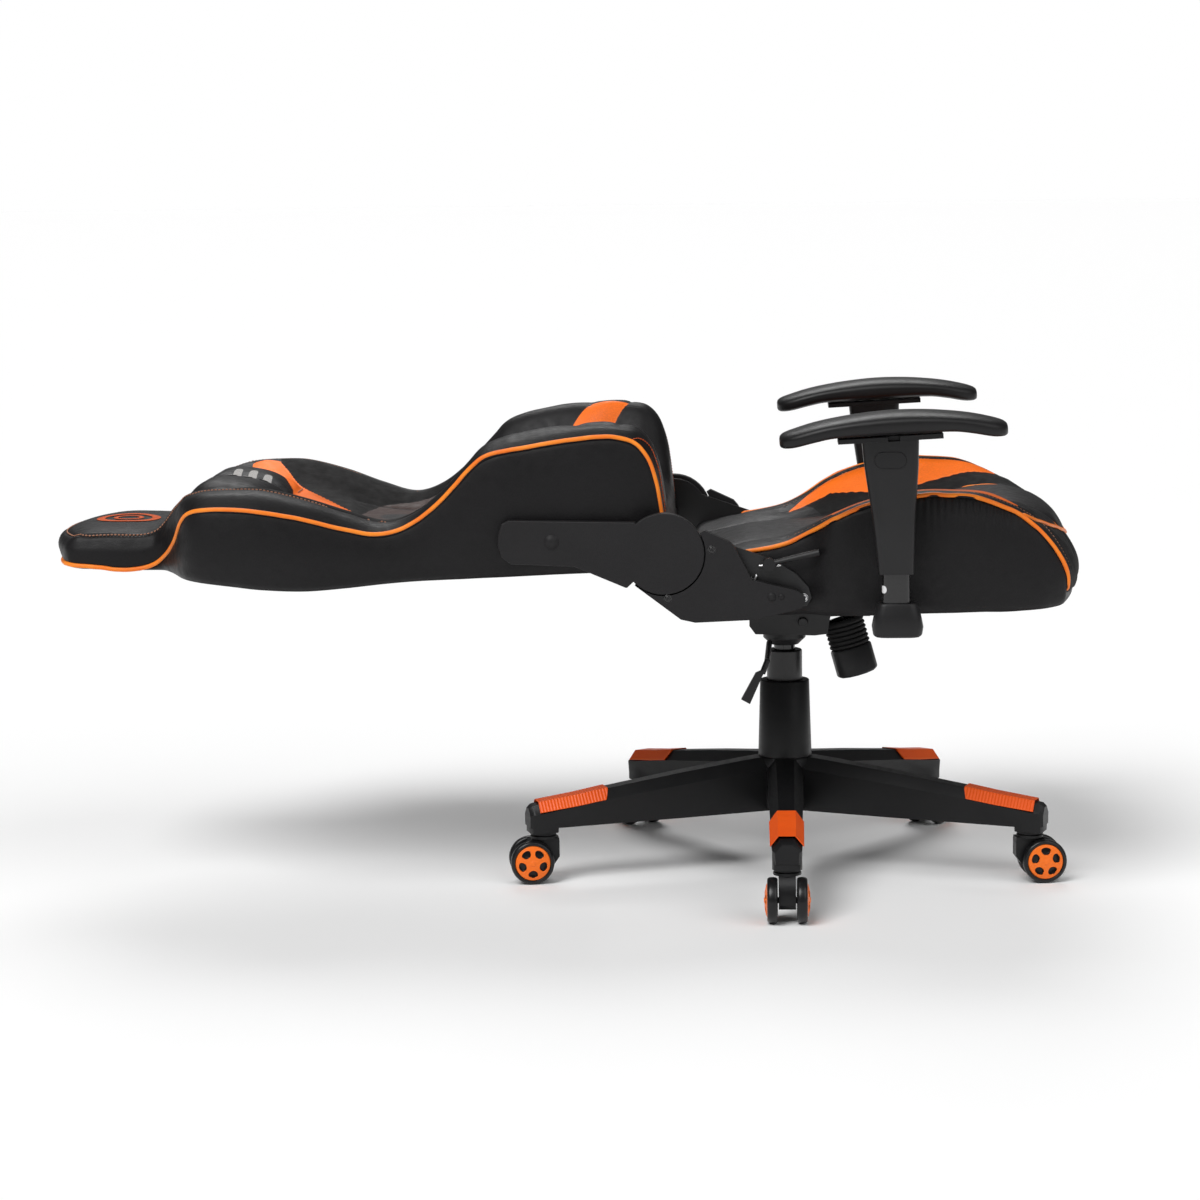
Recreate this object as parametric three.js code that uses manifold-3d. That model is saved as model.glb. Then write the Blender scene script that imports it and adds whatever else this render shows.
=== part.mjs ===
// A racing-style office chair with its backrest laid flat, in millimetres.
// +X points forward, +Y to the sitter's left, +Z up. The origin is on the floor, under the gas lift.
import * as THREE from 'three';
import { mergeVertices } from 'three/addons/utils/BufferGeometryUtils.js';
import Module from 'manifold-3d';

const wasm = await Module();
wasm.setup();

// ---------- driving dimensions ----------
const GAP = 0.3;                       // clearance between touching pieces

// star base
const LEG_ANGLES = [-90, -18, 54, 126, 198];
const STEM_RADIUS = 332;               // caster stems from the column axis
const LEG_TIP = 353;
const HUB_RADIUS = 38.5;
const HUB_BOTTOM = 77;
const HUB_TOP = 148;
const HUB_SIDES = 30;
const SOCKET_BOTTOM = 66;
const STEM_R = 5.5;

// casters
const WHEEL_R = 28.5;
const WHEEL_INNER = 11.6;              // from the caster's middle plane to a wheel's inner face
const WHEEL_OUTER = 24.6;
const HUBCAP_OUTER = 29;
const TRAIL = 16;
const CASTER_HEADINGS = [270, 7.5, 62, 118, 188];

// gas lift and rocker
const CYLINDER_R = 23.3;
const CYLINDER_BOTTOM = 84;
const CYLINDER_TOP = 290;
const PISTON_R = 14;
const SHROUD_TOP = 250;
const SHROUD_R = [35.5, 32.6];         // at its foot and at its top
const BLOCK_BOTTOM = 297;
const TILT_AXIS = [24, 331];           // x, z of the rocker pin
const KNOB_FOOT = [97, 257];           // x, z of the tension knob's lower end
const KNOB_TILT = 15.5;                // degrees from upright

// recliner, at the sides of the seat
const PIVOT = [-151, 448];             // x, z of the recline axis
const DISC_R = 51;
const SEAT_PLATE_Y = [239.2, 244.2];
const BACK_PLATE_Y = [244.5, 249.5];
const COVER_Y = [249.8, 265];

// cushions
const RAIL_Y = [206, 216];              // the frames inside the cushions
const SEAT_RAIL_Z = [380, 390];
const BACK_RAIL_Z = [443, 453];

// armrests
const ARM_Y = 303;                     // middle plane of a post and its sleeve
const ARM_X = 135.5;
const PAD_Y = 299;
const PAD_ORIGIN = [132, 598];         // x, z of the middle of the pad's underside
const PAD_TILT = 3;
const SLEEVE_BOTTOM = 427;

// ---------- geometry helpers ----------
const rad = THREE.MathUtils.degToRad;
const chair = new THREE.Group();

function toSolid(geometry) {
  const bare = geometry.clone();
  bare.deleteAttribute('normal');
  bare.deleteAttribute('uv');
  const merged = mergeVertices(bare, 1e-3);
  const at = merged.attributes.position.array;
  const index = merged.index.array;
  const tris = [];
  let volume = 0;
  for (let i = 0; i < index.length; i += 3) {
    const [a, b, c] = [index[i], index[i + 1], index[i + 2]];
    if (a === b || b === c || c === a) continue;
    tris.push(a, b, c);
    const [p, q, r] = [a, b, c].map((k) => new THREE.Vector3().fromArray(at, 3 * k));
    volume += p.dot(q.cross(r));
  }
  if (volume < 0) tris.reverse();
  return new wasm.Manifold(new wasm.Mesh({
    numProp: 3,
    vertProperties: new Float32Array(at),
    triVerts: new Uint32Array(tris),
  }));
}

function toGeometry(solid) {
  const mesh = solid.getMesh();
  const geometry = new THREE.BufferGeometry();
  geometry.setAttribute('position', new THREE.BufferAttribute(mesh.vertProperties, 3));
  geometry.setIndex(new THREE.BufferAttribute(mesh.triVerts, 1));
  return geometry;
}

const join = (first, ...others) => others.reduce((a, b) => a.add(b), first);
const cut = (first, ...others) => others.reduce((a, b) => a.subtract(b), first);

// A box between two values on each axis.
function box([x0, x1], [y0, y1], [z0, z1]) {
  const geometry = new THREE.BoxGeometry(x1 - x0, y1 - y0, z1 - z0);
  return toSolid(geometry.translate((x0 + x1) / 2, (y0 + y1) / 2, (z0 + z1) / 2));
}

// A round bar or cone between two points.
function rod(radius, from, to, segments = 16, endRadius = radius) {
  const a = new THREE.Vector3(...from);
  const b = new THREE.Vector3(...to);
  const along = b.clone().sub(a);
  const geometry = new THREE.CylinderGeometry(endRadius, radius, along.length(), segments);
  const up = new THREE.Vector3(0, 1, 0);
  const aim = new THREE.Quaternion().setFromUnitVectors(up, along.normalize());
  return toSolid(geometry.applyQuaternion(aim).translate(...a.add(b).divideScalar(2).toArray()));
}

// A solid of revolution about Z from [radius, z] points that start and end on the axis or meet.
function turned(profile, segments = 32) {
  const points = profile.map(([r, z]) => new THREE.Vector2(r, z));
  return toSolid(new THREE.LatheGeometry(points, segments).rotateX(Math.PI / 2));
}

// A plate with an outline in X and Z, between two values of Y.
function slab(outline, [y0, y1]) {
  const shape = outline instanceof THREE.Shape ? outline
    : new THREE.Shape(outline.map(([x, z]) => new THREE.Vector2(x, z)));
  const depth = y1 - y0;
  const geometry = new THREE.ExtrudeGeometry(shape, { depth, bevelEnabled: false, curveSegments: 5 });
  return toSolid(geometry.rotateX(Math.PI / 2).translate(0, y1, 0));
}

// A closed skin through loops of [x, y, z] points, with a fan over each end.
function loft(loops) {
  const n = loops[0].length;
  const points = loops.flat();
  const tris = [];
  for (let k = 0; k + 1 < loops.length; k++) {
    for (let i = 0; i < n; i++) {
      const [a, b] = [k * n + i, k * n + (i + 1) % n];
      tris.push(a, b, a + n, b, b + n, a + n);
    }
  }
  for (const [k, flip] of [[0, false], [loops.length - 1, true]]) {
    const middle = [0, 1, 2].map((c) => loops[k].reduce((s, p) => s + p[c], 0) / n);
    points.push(middle);
    for (let i = 0; i < n; i++) {
      const [a, b] = [k * n + i, k * n + (i + 1) % n];
      tris.push(...(flip ? [a, b, points.length - 1] : [b, a, points.length - 1]));
    }
  }
  const geometry = new THREE.BufferGeometry();
  geometry.setAttribute('position', new THREE.Float32BufferAttribute(points.flat(), 3));
  geometry.setIndex(tris);
  return toSolid(geometry);
}

// A smooth value at x through [x, value] pairs in rising order of x.
function smooth(pairs, x) {
  const last = pairs.length - 1;
  if (x <= pairs[0][0]) return pairs[0][1];
  if (x >= pairs[last][0]) return pairs[last][1];
  const k = pairs.findIndex((p) => p[0] > x) - 1;
  const slope = (i) => {
    const [a, b] = [pairs[Math.max(i - 1, 0)], pairs[Math.min(i + 1, last)]];
    return (b[1] - a[1]) / (b[0] - a[0]);
  };
  const [x0, v0] = pairs[k];
  const [x1, v1] = pairs[k + 1];
  const h = x1 - x0;
  const t = (x - x0) / h;
  return v0 * (1 + 2 * t) * (1 - t) ** 2 + v1 * t * t * (3 - 2 * t)
    + slope(k) * h * t * (1 - t) ** 2 - slope(k + 1) * h * t * t * (1 - t);
}

// A rounded rectangle's loop of points at height z, around (cx, cy).
function roundedLoop(cx, cy, z, halfX, halfY, corner, steps = 3) {
  const loop = [];
  for (const [sx, sy, start] of [[1, 1, 0], [-1, 1, 90], [-1, -1, 180], [1, -1, 270]]) {
    for (let i = 0; i <= steps; i++) {
      const a = rad(start + 90 * i / steps);
      loop.push([cx + sx * (halfX - corner) + corner * Math.cos(a),
        cy + sy * (halfY - corner) + corner * Math.sin(a), z]);
    }
  }
  return loop;
}

// Mirrors a span of Y to the right side of the chair where side is -1.
const span = (side, [a, b]) => (side > 0 ? [a, b] : [-b, -a]);

function turn(solid, angleZ, at = [0, 0, 0]) {
  return solid.rotate([0, 0, angleZ]).translate(at);
}

function finish(colour, roughness, metalness) {
  return new THREE.MeshStandardMaterial({ color: colour, roughness, metalness });
}
const nylon = () => finish(0x1b1b1c, 0.55, 0);
const orangePlastic = () => finish(0xff5a1c, 0.45, 0);
const tyre = () => finish(0x151516, 0.6, 0);
const blackSteel = () => finish(0x161617, 0.35, 0.8);
const leather = () => finish(0x17171a, 0.5, 0);
const softPlastic = () => finish(0x1d1d1f, 0.65, 0);

function add(name, solid, material) {
  const mesh = new THREE.Mesh(toGeometry(solid), material);
  mesh.name = name;
  chair.add(mesh);
}

// ---------- star base ----------
const LEG_STATIONS = [
  // r, half top, half shoulder, half bottom, top z, shoulder drop, bottom z
  [14, 12, 24, 19, 151, 15, 78],
  [60, 12, 23.5, 19, 146, 15, 77],
  [150, 11, 22, 18, 134, 14, 75],
  [245, 10, 20.5, 17.5, 120, 13, 73.5],
  [330, 9.5, 19.5, 17, 105.5, 12, 72],
];

function legLoop(r, top, shoulder, foot, zTop, drop, zFoot) {
  return [[r, top, zTop], [r, shoulder, zTop - drop], [r, foot, zFoot],
    [r, -foot, zFoot], [r, -shoulder, zTop - drop], [r, -top, zTop]];
}

function leg() {
  const loops = LEG_STATIONS.map((s) => legLoop(...s));
  loops.push(legLoop(348, 8.5, 18.5, 16.5, 102, 11, 72));
  loops.push(legLoop(LEG_TIP, 6, 15, 14, 98, 10, 74));
  const socket = loft([
    roundedLoop(333, 0, SOCKET_BOTTOM, 19, 18.5, 8, 2),
    roundedLoop(333, 0, 92, 19.5, 18.5, 8, 2),
  ]);
  const pockets = [[62, 128], [136, 206], [214, 300]].map(([r0, r1]) => loft([
    roundedLoop((r0 + r1) / 2, 0, 60, (r1 - r0) / 2, 13, 5, 1),
    roundedLoop((r0 + r1) / 2, 0, 122 - r1 / 6, (r1 - r0) / 2 - 3, 10, 4, 1),
  ]));
  return { body: join(loft(loops), socket), pockets };
}

function starBase() {
  const hub = turned([[0, HUB_BOTTOM], [30, HUB_BOTTOM], [HUB_RADIUS - 2, HUB_BOTTOM + 4],
    [HUB_RADIUS, HUB_BOTTOM + 12], [HUB_RADIUS, HUB_TOP - 3], [HUB_RADIUS - 2, HUB_TOP],
    [0, HUB_TOP]], HUB_SIDES);
  const stemHole = rod(STEM_R + 0.25, [STEM_RADIUS, 0, 50], [STEM_RADIUS, 0, 96], 16);
  let star = hub;
  for (const angle of LEG_ANGLES) star = star.add(turn(leg().body, angle));
  for (const angle of LEG_ANGLES) {
    for (const pocket of leg().pockets) star = star.subtract(turn(pocket, angle));
    star = star.subtract(turn(stemHole, angle));
  }
  // the bore that holds the gas lift, and a level top for the shroud to stand on
  const bore = rod(CYLINDER_R + GAP, [0, 0, 60], [0, 0, 200], HUB_SIDES);
  const level = rod(SHROUD_R[0] + 1, [0, 0, HUB_TOP], [0, 0, 200], HUB_SIDES);
  return cut(star, bore, level);
}

// A cap lies 1.5 mm proud of the leg's top and chamfers, with its ends cut on a slant.
function legCap() {
  const loop = (r, grow, depth) => {
    const at = (k) => smooth(LEG_STATIONS.map((s) => [s[0], s[k]]), r);
    const [top, shoulder, zTop, drop] = [at(1) + grow, at(2) + grow, at(4) + grow, at(5)];
    return [[r, top, zTop], [r, shoulder, zTop - drop], [r, shoulder, zTop - drop - depth],
      [r, -shoulder, zTop - drop - depth], [r, -shoulder, zTop - drop], [r, -top, zTop]];
  };
  const outer = loft([248, 290, 341].map((r) => loop(r, 1.6, 1)));
  const inner = loft([240, 290, 350].map((r) => loop(r, GAP, 12)));
  const tipCut = box([0, 60], [-40, 40], [-60, 60]).rotate([0, -28, 0]).translate([344, 0, 104]);
  const hubCut = box([-60, 0], [-40, 40], [-60, 60]).rotate([0, -20, 0]).translate([247, 0, 121]);
  return cut(outer, inner, tipCut, hubCut);
}

function makeBase() {
  add('base_star', starBase(), nylon());
  LEG_ANGLES.forEach((angle, i) => add(`leg_cap_${i + 1}`, turn(legCap(), angle), orangePlastic()));
}

// ---------- casters ----------
// The stem's axis is at the origin and the wheels trail along +X.
function casterHood() {
  const neck = turned([[0, 57.8], [17.5, 57.8], [17.5, 61], [15.5, 62], [17.3, 63.2], [17.3, 65.4],
    [STEM_R, 65.4], [STEM_R, 93], [0, 93]], 16);
  const outline = [[-19.5, 58.5], [-20, 54], [-20, 34], [-13, 24], [4, 17], [18, 17], [27, 24],
    [28, 36], [22, 52], [15, 58.5]];
  const web = slab(outline, [-10.6, 10.6]);
  const axle = rod(4, [TRAIL, -22, WHEEL_R], [TRAIL, 22, WHEEL_R], 10);
  return join(neck, web, axle);
}

// A wheel with its axis along Y, open to the axle on its inner side, domed on its outer side.
function casterWheel(side) {
  const profile = [[0, 22.6], [4.3, 22.6], [4.3, WHEEL_INNER], [WHEEL_R - 2, WHEEL_INNER],
    [WHEEL_R, WHEEL_INNER + 2], [WHEEL_R, WHEEL_OUTER - 2.5], [WHEEL_R - 2.5, WHEEL_OUTER],
    [22.5, WHEEL_OUTER], [12, HUBCAP_OUTER - 1.2], [0, HUBCAP_OUTER]];
  return turned(profile, 20).rotate([side > 0 ? -90 : 90, 0, 0]).translate([TRAIL, 0, WHEEL_R]);
}

function makeCasters() {
  LEG_ANGLES.forEach((angle, i) => {
    const at = [STEM_RADIUS * Math.cos(rad(angle)), STEM_RADIUS * Math.sin(rad(angle)), 0];
    const heading = CASTER_HEADINGS[i];
    add(`caster_${i + 1}_hood`, turn(casterHood(), heading, at), nylon());
    add(`caster_${i + 1}_wheel_a`, turn(casterWheel(1), heading, at), tyre());
    add(`caster_${i + 1}_wheel_b`, turn(casterWheel(-1), heading, at), tyre());
  });
}

// ---------- gas lift ----------
function makeGasLift() {
  const wall = 2.2;
  const bore = PISTON_R + GAP;
  add('gas_cylinder', turned([[bore, CYLINDER_BOTTOM], [CYLINDER_R - 1.5, CYLINDER_BOTTOM],
    [CYLINDER_R, CYLINDER_BOTTOM + 4], [CYLINDER_R, CYLINDER_TOP - 1.5], [CYLINDER_R - 1.5, CYLINDER_TOP],
    [bore, CYLINDER_TOP], [bore, CYLINDER_BOTTOM]], 24), blackSteel());
  const low = HUB_TOP + GAP;
  const [rLow, rHigh] = SHROUD_R;
  add('column_shroud', turned([[rLow - wall, low], [rLow, low], [rHigh, SHROUD_TOP - 1.5],
    [rHigh - 1, SHROUD_TOP], [CYLINDER_R + GAP, SHROUD_TOP], [CYLINDER_R + GAP, SHROUD_TOP - wall],
    [rHigh - wall, SHROUD_TOP - wall], [rLow - wall, low]], HUB_SIDES), nylon());
  const [foot, top] = [95, 334];
  add('gas_piston', turned([[0, foot], [PISTON_R, foot], [PISTON_R, top - 4], [PISTON_R - 3, top],
    [0, top]], 24), blackSteel());
}

// ---------- rocker mechanism ----------
const TILT_PIN_R = 6;
const alongTiltAxis = (radius, reach) =>
  rod(radius, [TILT_AXIS[0], -reach, TILT_AXIS[1]], [TILT_AXIS[0], reach, TILT_AXIS[1]], 14);

function rockerBlock() {
  const cone = turned([[0, BLOCK_BOTTOM], [18.5, BLOCK_BOTTOM], [28, BLOCK_BOTTOM + 9], [28, 322],
    [22, 337], [0, 337]], 24);
  const neck = box([-4, 34], [-34, 34], [319, 343]);
  const bore = rod(PISTON_R + GAP, [0, 0, 290], [0, 0, 334.4], 24);
  return cut(join(cone, neck), bore, alongTiltAxis(TILT_PIN_R + GAP, 60));
}

// A folded steel channel, open below, with flanges that bolt under the seat frame.
function mechHousing() {
  const side = [[-46, 352], [-46, 326], [-38, 315], [40, 313], [56, 315], [60, 338], [112, 340],
    [112, 352]];
  const walls = [-1, 1].map((s) => slab(side, span(s, [37, 40])));
  const top = box([-62, 112], [-92, 92], [352, 356]);
  const front = box([58, 112], [-37.5, 37.5], [338, 342]);
  const boltHole = rod(5.6, [87, 0, 330], [87, 0, 350.5], 14);
  return cut(join(top, ...walls, front), alongTiltAxis(TILT_PIN_R + GAP, 60), boltHole);
}

const knobAxis = [Math.sin(rad(KNOB_TILT)), -Math.cos(rad(KNOB_TILT))];
const onKnob = (up) => [KNOB_FOOT[0] - knobAxis[0] * up, 0, KNOB_FOOT[1] - knobAxis[1] * up];

// A piece turned about the knob's axis, with its profile measured up from the knob's lower end.
function aboutKnob(profile, segments) {
  return turned(profile, segments).rotate([0, -KNOB_TILT, 0]).translate([KNOB_FOOT[0], 0, KNOB_FOOT[1]]);
}

function springSleeve() {
  const [low, high, pitch] = [38.6, 76, 6];
  const outer = [];
  for (let h = low; h + pitch <= high; h += pitch) {
    outer.push([25, h], [27, h + 1.6], [27, h + 4]);
  }
  return aboutKnob([[20, low], ...outer, [25, high], [20, high], [20, low]], 16);
}

function tensionSpring() {
  const points = [];
  const [turns, perTurn, radius, low, rise] = [4, 8, 12, 43, 28];
  for (let i = 0; i <= turns * perTurn; i++) {
    const a = 2 * Math.PI * i / perTurn;
    const z = low + rise * i / (turns * perTurn);
    points.push(new THREE.Vector3(radius * Math.cos(a), radius * Math.sin(a), z));
  }
  const wire = new THREE.Shape();
  wire.absarc(0, 0, 1.8, 0, 2 * Math.PI);
  const geometry = new THREE.ExtrudeGeometry(wire, {
    steps: turns * perTurn, curveSegments: 3, bevelEnabled: false,
    extrudePath: new THREE.CatmullRomCurve3(points),
  });
  return toSolid(geometry).rotate([0, -KNOB_TILT, 0]).translate([KNOB_FOOT[0], 0, KNOB_FOOT[1]]);
}

function makeMechanism() {
  add('rocker_block', rockerBlock(), blackSteel());
  add('mech_housing', mechHousing(), blackSteel());
  add('tilt_pin', alongTiltAxis(TILT_PIN_R, 46), blackSteel());
  add('spring_sleeve', springSleeve(), softPlastic());
  add('tension_spring', tensionSpring(), blackSteel());
  add('tension_bolt', rod(4.5, onKnob(39), onKnob(79), 12), blackSteel());
  const knobProfile = [[0, 0], [24.5, 0], [27.5, 3], [27.5, 35], [26, 38], [0, 38]];
  add('tension_knob', aboutKnob(knobProfile, 12), softPlastic());

  // the height lever: a bent rod with a flat paddle at its end
  const [x, z, rodR] = [-20, 302.5, 3.8];
  const arm = join(rod(rodR, [x, -30, z], [x - 3, -206, z + 2], 10),
    rod(rodR, [x - 3, -206, z + 2], [x - 9, -214, z - 12], 10),
    slab([[-38, 291], [-25, 297], [-45, 252], [-56, 258]], [-221, -212]));
  add('height_lever', arm, softPlastic());
}

// ---------- seat ----------
const SEAT_PIPE = [[-118, 436], [-50, 446], [0, 455], [60, 487], [110, 506], [165, 518], [215, 517],
  [263, 507], [290, 495], [317, 473], [338, 446], [349, 421], [353, 407]];
const SEAT_CENTRE = [[-118, 433], [-50, 445], [0, 449], [60, 451], [110, 457], [165, 470], [215, 483],
  [260, 492], [288, 491], [317, 477], [338, 450], [349, 423], [353, 408]];
const SEAT_CREST = [[-118, 0], [0, 0], [60, 3], [110, 6], [190, 9], [263, 5], [317, 1], [353, 0]];
const SEAT_FOOT = [[-118, 376], [-60, 369], [100, 371], [250, 376], [320, 380], [338, 385],
  [348, 393], [353, 402]];
const SEAT_WIDTH = [[-118, 226], [-60, 233], [28, 234], [62, 256], [120, 261], [260, 262], [317, 258],
  [338, 251], [353, 240]];
const SEAT_NOSE = [[0, 0], [60, 2], [165, 16], [288, 36], [353, 33]];
const SEAT_STATIONS = [-118, -105, -50, 0, 28, 62, 110, 165, 215, 263, 290, 317, 338, 349, 353];

// One loop of a cushion: a shallow middle, a bolster on each side and a nearly flat foot.
// The middle runs forward of the sides by nose.
function cushionLoop(x, width, middle, crest, edge, foot, bulge, nose) {
  const rise = crest - middle;
  const wall = edge - foot;
  const half = [[0, middle], [0.3 * width, middle], [0.5 * width, middle + 0.08 * rise],
    [0.64 * width, middle + 0.55 * rise], [0.74 * width, middle + 0.92 * rise], [0.82 * width, crest],
    [0.92 * width, edge + 0.65 * (crest - edge)], [width - 1, edge],
    [width + bulge, foot + 0.62 * wall], [width, foot + 0.22 * wall], [width - 9, foot]];
  const loop = half.map(([y, z]) => [x + nose * (1 - (y / width) ** 2), y, z]);
  const mirrored = loop.slice(1).reverse().map(([px, y, z]) => [px, -y, z]);
  return [...loop, ...mirrored];
}

function seatCushion() {
  const loops = SEAT_STATIONS.map((x) => {
    const pipe = smooth(SEAT_PIPE, x);
    return cushionLoop(x, smooth(SEAT_WIDTH, x), smooth(SEAT_CENTRE, x), pipe + smooth(SEAT_CREST, x),
      pipe, smooth(SEAT_FOOT, x), 2, smooth(SEAT_NOSE, x));
  });
  return cut(loft(loops), seatFrame(GAP));
}

// The bosses, x and z, that carry the brackets' bolts out to each side.
const SEAT_BOSSES = [[-60, 385], [0, 385]];
const bossRods = (places, radius, reach) => places.flatMap(([x, z]) => [-1, 1].map((side) =>
  rod(radius, [x, side * 210, z], [x, side * reach, z], 12)));

function seatFrame(grow) {
  const wide = ([a, b]) => [a - grow, b + grow];
  const rails = [-1, 1].map((s) => box(wide([-100, 250]), wide(span(s, RAIL_Y)), wide(SEAT_RAIL_Z)));
  const across = (x) => box(wide(x), wide([-RAIL_Y[1], RAIL_Y[1]]), wide(SEAT_RAIL_Z));
  const foot = [356.3, SEAT_RAIL_Z[0] + 1];
  const feet = [[-56, -44], [92, 104]].map((x) => box(wide(x), wide([-130, 130]), wide(foot)));
  const bars = [[-100, -90], [-56, -44], [92, 104], [240, 250]].map(across);
  const bosses = bossRods(SEAT_BOSSES, 7 + grow, SEAT_PLATE_Y[0] - GAP + grow * 20);
  return join(...rails, ...bars, ...feet, ...bosses);
}

// ---------- backrest ----------
// x, half width, middle z, crest z, outer edge z, foot z
const BACK_STATIONS = [
  [-962, 122, 461, 459, 457, 449],
  [-956, 133, 470, 467, 461, 437],
  [-936, 144, 481, 477, 467, 427],
  [-905, 150, 487, 483, 470, 421],
  [-865, 153, 487, 483, 468, 419],
  [-825, 154, 483, 479, 464, 419],
  [-800, 160, 486, 482, 468, 420],
  [-780, 184, 498, 493, 480, 421],
  [-760, 230, 513, 513, 496, 420],
  [-738, 258, 522, 524, 503, 418],
  [-690, 268, 521, 528, 506, 413],
  [-640, 268, 504, 525, 501, 408],
  [-602, 262, 486, 514, 493, 406],
  [-553, 250, 471, 496, 480, 408],
  [-505, 241, 465, 481, 472, 412],
  [-466, 239, 467, 494, 485, 415],
  [-428, 241, 472, 524, 514, 417],
  [-403, 242, 478, 552, 541, 418],
  [-378, 242, 484, 574, 562, 419],
  [-327, 241, 496, 592, 577, 421],
  [-278, 240, 504, 600, 584, 423],
  [-234, 237, 508, 602, 588, 424],
  [-203, 235, 510, 598, 586, 424],
  [-180, 233, 508, 585, 574, 425],
  [-166, 230, 505, 560, 550, 427],
  [-156, 226, 500, 518, 510, 431],
];

const BACK_BOSSES = [[-290, 450], [-222, 450]];

function backCushion() {
  const loops = BACK_STATIONS.map(([x, width, middle, crest, edge, foot]) =>
    cushionLoop(x, width, middle, crest, edge, foot, 2, 0));
  const aroundRod = rod(10, [PIVOT[0], -300, PIVOT[1]], [PIVOT[0], 300, PIVOT[1]], 20);
  return cut(loft(loops), backFrame(GAP), aroundRod);
}

function backFrame(grow) {
  const wide = ([a, b]) => [a - grow, b + grow];
  const rails = [-1, 1].map((s) => box(wide([-600, -185]), wide(span(s, RAIL_Y)), wide(BACK_RAIL_Z)));
  const across = (x) => box(wide(x), wide([-RAIL_Y[1], RAIL_Y[1]]), wide(BACK_RAIL_Z));
  const bars = [[-600, -590], [-195, -185]].map(across);
  const bosses = bossRods(BACK_BOSSES, 7 + grow, BACK_PLATE_Y[0] - GAP + grow * 20);
  return join(...rails, ...bars, ...bosses);
}

// ---------- recliner ----------
const onPivot = (radius, spanY, segments = 28) =>
  rod(radius, [PIVOT[0], spanY[0], PIVOT[1]], [PIVOT[0], spanY[1], PIVOT[1]], segments);

function makeRecliner(side, tag) {
  const seatY = span(side, SEAT_PLATE_Y);
  const backY = span(side, BACK_PLATE_Y);
  const coverY = span(side, COVER_Y);
  const pinY = span(side, [SEAT_PLATE_Y[0], BACK_PLATE_Y[1]]);
  const rodY = span(side, [200, 280]);

  const seatArm = slab([[-118, 474], [-66, 456], [-14, 438], [14, 420], [29, 403], [33, 390],
    [27, 380], [-40, 368], [-118, 367], [-178, 412]], seatY);
  const seatPlate = join(onPivot(46, seatY), seatArm, onPivot(10, pinY, 20));
  add(`seat_bracket_${tag}`, cut(seatPlate, onPivot(6 + GAP, rodY, 16)), blackSteel());

  const backArm = slab([[-190, 480], [-332, 481], [-344, 476], [-347, 462], [-343, 450],
    [-332, 445], [-250, 445], [-185, 415], [-160, 448]], backY);
  const backPlate = join(onPivot(46, backY), backArm);
  add(`back_bracket_${tag}`, cut(backPlate, onPivot(10 + GAP, rodY, 20)), blackSteel());

  const bar = slab([[-186, 488], [-343, 491], [-352, 487], [-356, 474], [-357, 460], [-352, 445],
    [-341, 436.5], [-262, 433], [-197, 405.5], [-160, 441]], coverY);
  add(`back_cover_${tag}`, join(onPivot(DISC_R, coverY, 40), bar), softPlastic());

  const lower = slab([[-100, 477], [-68, 462], [-62, 455], [-41, 415], [-13, 408], [13, 402],
    [22, 397], [25, 389], [20, 380], [8, 376], [-41, 365], [-112, 362], [-130, 366], [-187, 409],
    [-151, 448]], coverY);
  add(`seat_cover_${tag}`, cut(lower, onPivot(DISC_R + 1.5, rodY, 40)), softPlastic());
}

function makeRecline() {
  makeRecliner(1, 'left');
  makeRecliner(-1, 'right');
  add('cross_rod', onPivot(6, [-BACK_PLATE_Y[1], BACK_PLATE_Y[1]], 14), blackSteel());
  const handle = join(rod(8, [-20, -258, 433], [-20, -244.5, 433], 16),
    rod(3.4, [-20, -254, 434], [42, -257, 448.5], 10, 4.4));
  add('recline_lever', handle, softPlastic());
}

// ---------- armrests ----------
// An oval bar with the post's section, from z0 to z1, grown all round.
const postLoft = (y, z0, z1, grow) =>
  loft([z0, z1].map((z) => roundedLoop(ARM_X, y, z, 17.5 + grow, 10 + grow, 9)));

function armPost(side) {
  const y = side * ARM_Y;
  const tube = postLoft(y, 359, 545, 0);
  const foot = box([118, 153], span(side, [190, ARM_Y]), [359, 367]);
  return join(tube, foot);
}

// z, half length, half width, corner radius
const CUP_LOOPS = [[349, 27, 15, 12], [352, 30, 18, 13], [362, 31.5, 19.5, 13], [375, 29, 18, 12],
  [388, 25.5, 16, 11], [391, 24, 15, 11]];

function armCup(side) {
  const y = side * ARM_Y;
  const shell = loft(CUP_LOOPS.map(([z, hx, hy, c]) => roundedLoop(ARM_X + 1.5, y, z, hx, hy, c)));
  const core = postLoft(y, 358.7, 400, GAP);
  const slot = box([117.7, 153.3], span(side, [260, ARM_Y]), [358.7, 367.3]);
  return cut(shell, core, slot);
}

// A racetrack outline for the button, in X and Z.
function racetrack(cx, cz, halfX, r) {
  const shape = new THREE.Shape();
  shape.absarc(cx + halfX - r, cz, r, -Math.PI / 2, Math.PI / 2, false);
  shape.absarc(cx - halfX + r, cz, r, Math.PI / 2, 3 * Math.PI / 2, false);
  return shape;
}

const BUTTON = [128, 568];
const SLEEVE_LEAN = 0.045;              // rearward, per mm of height
const SLEEVE_LOOPS = [[SLEEVE_BOTTOM, 21, 14.5, 7], [SLEEVE_BOTTOM + 2, 21.5, 15.3, 7],
  [500, 26.5, 16, 7], [560, 33, 17, 7], [604, 35.5, 17.5, 7]];

// Moves a piece from the pad's own frame, whose origin is the middle of its underside, to its place.
const onArm = (solid, side) =>
  solid.rotate([0, -PAD_TILT, 0]).translate([PAD_ORIGIN[0], side * PAD_Y, PAD_ORIGIN[1]]);

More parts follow.
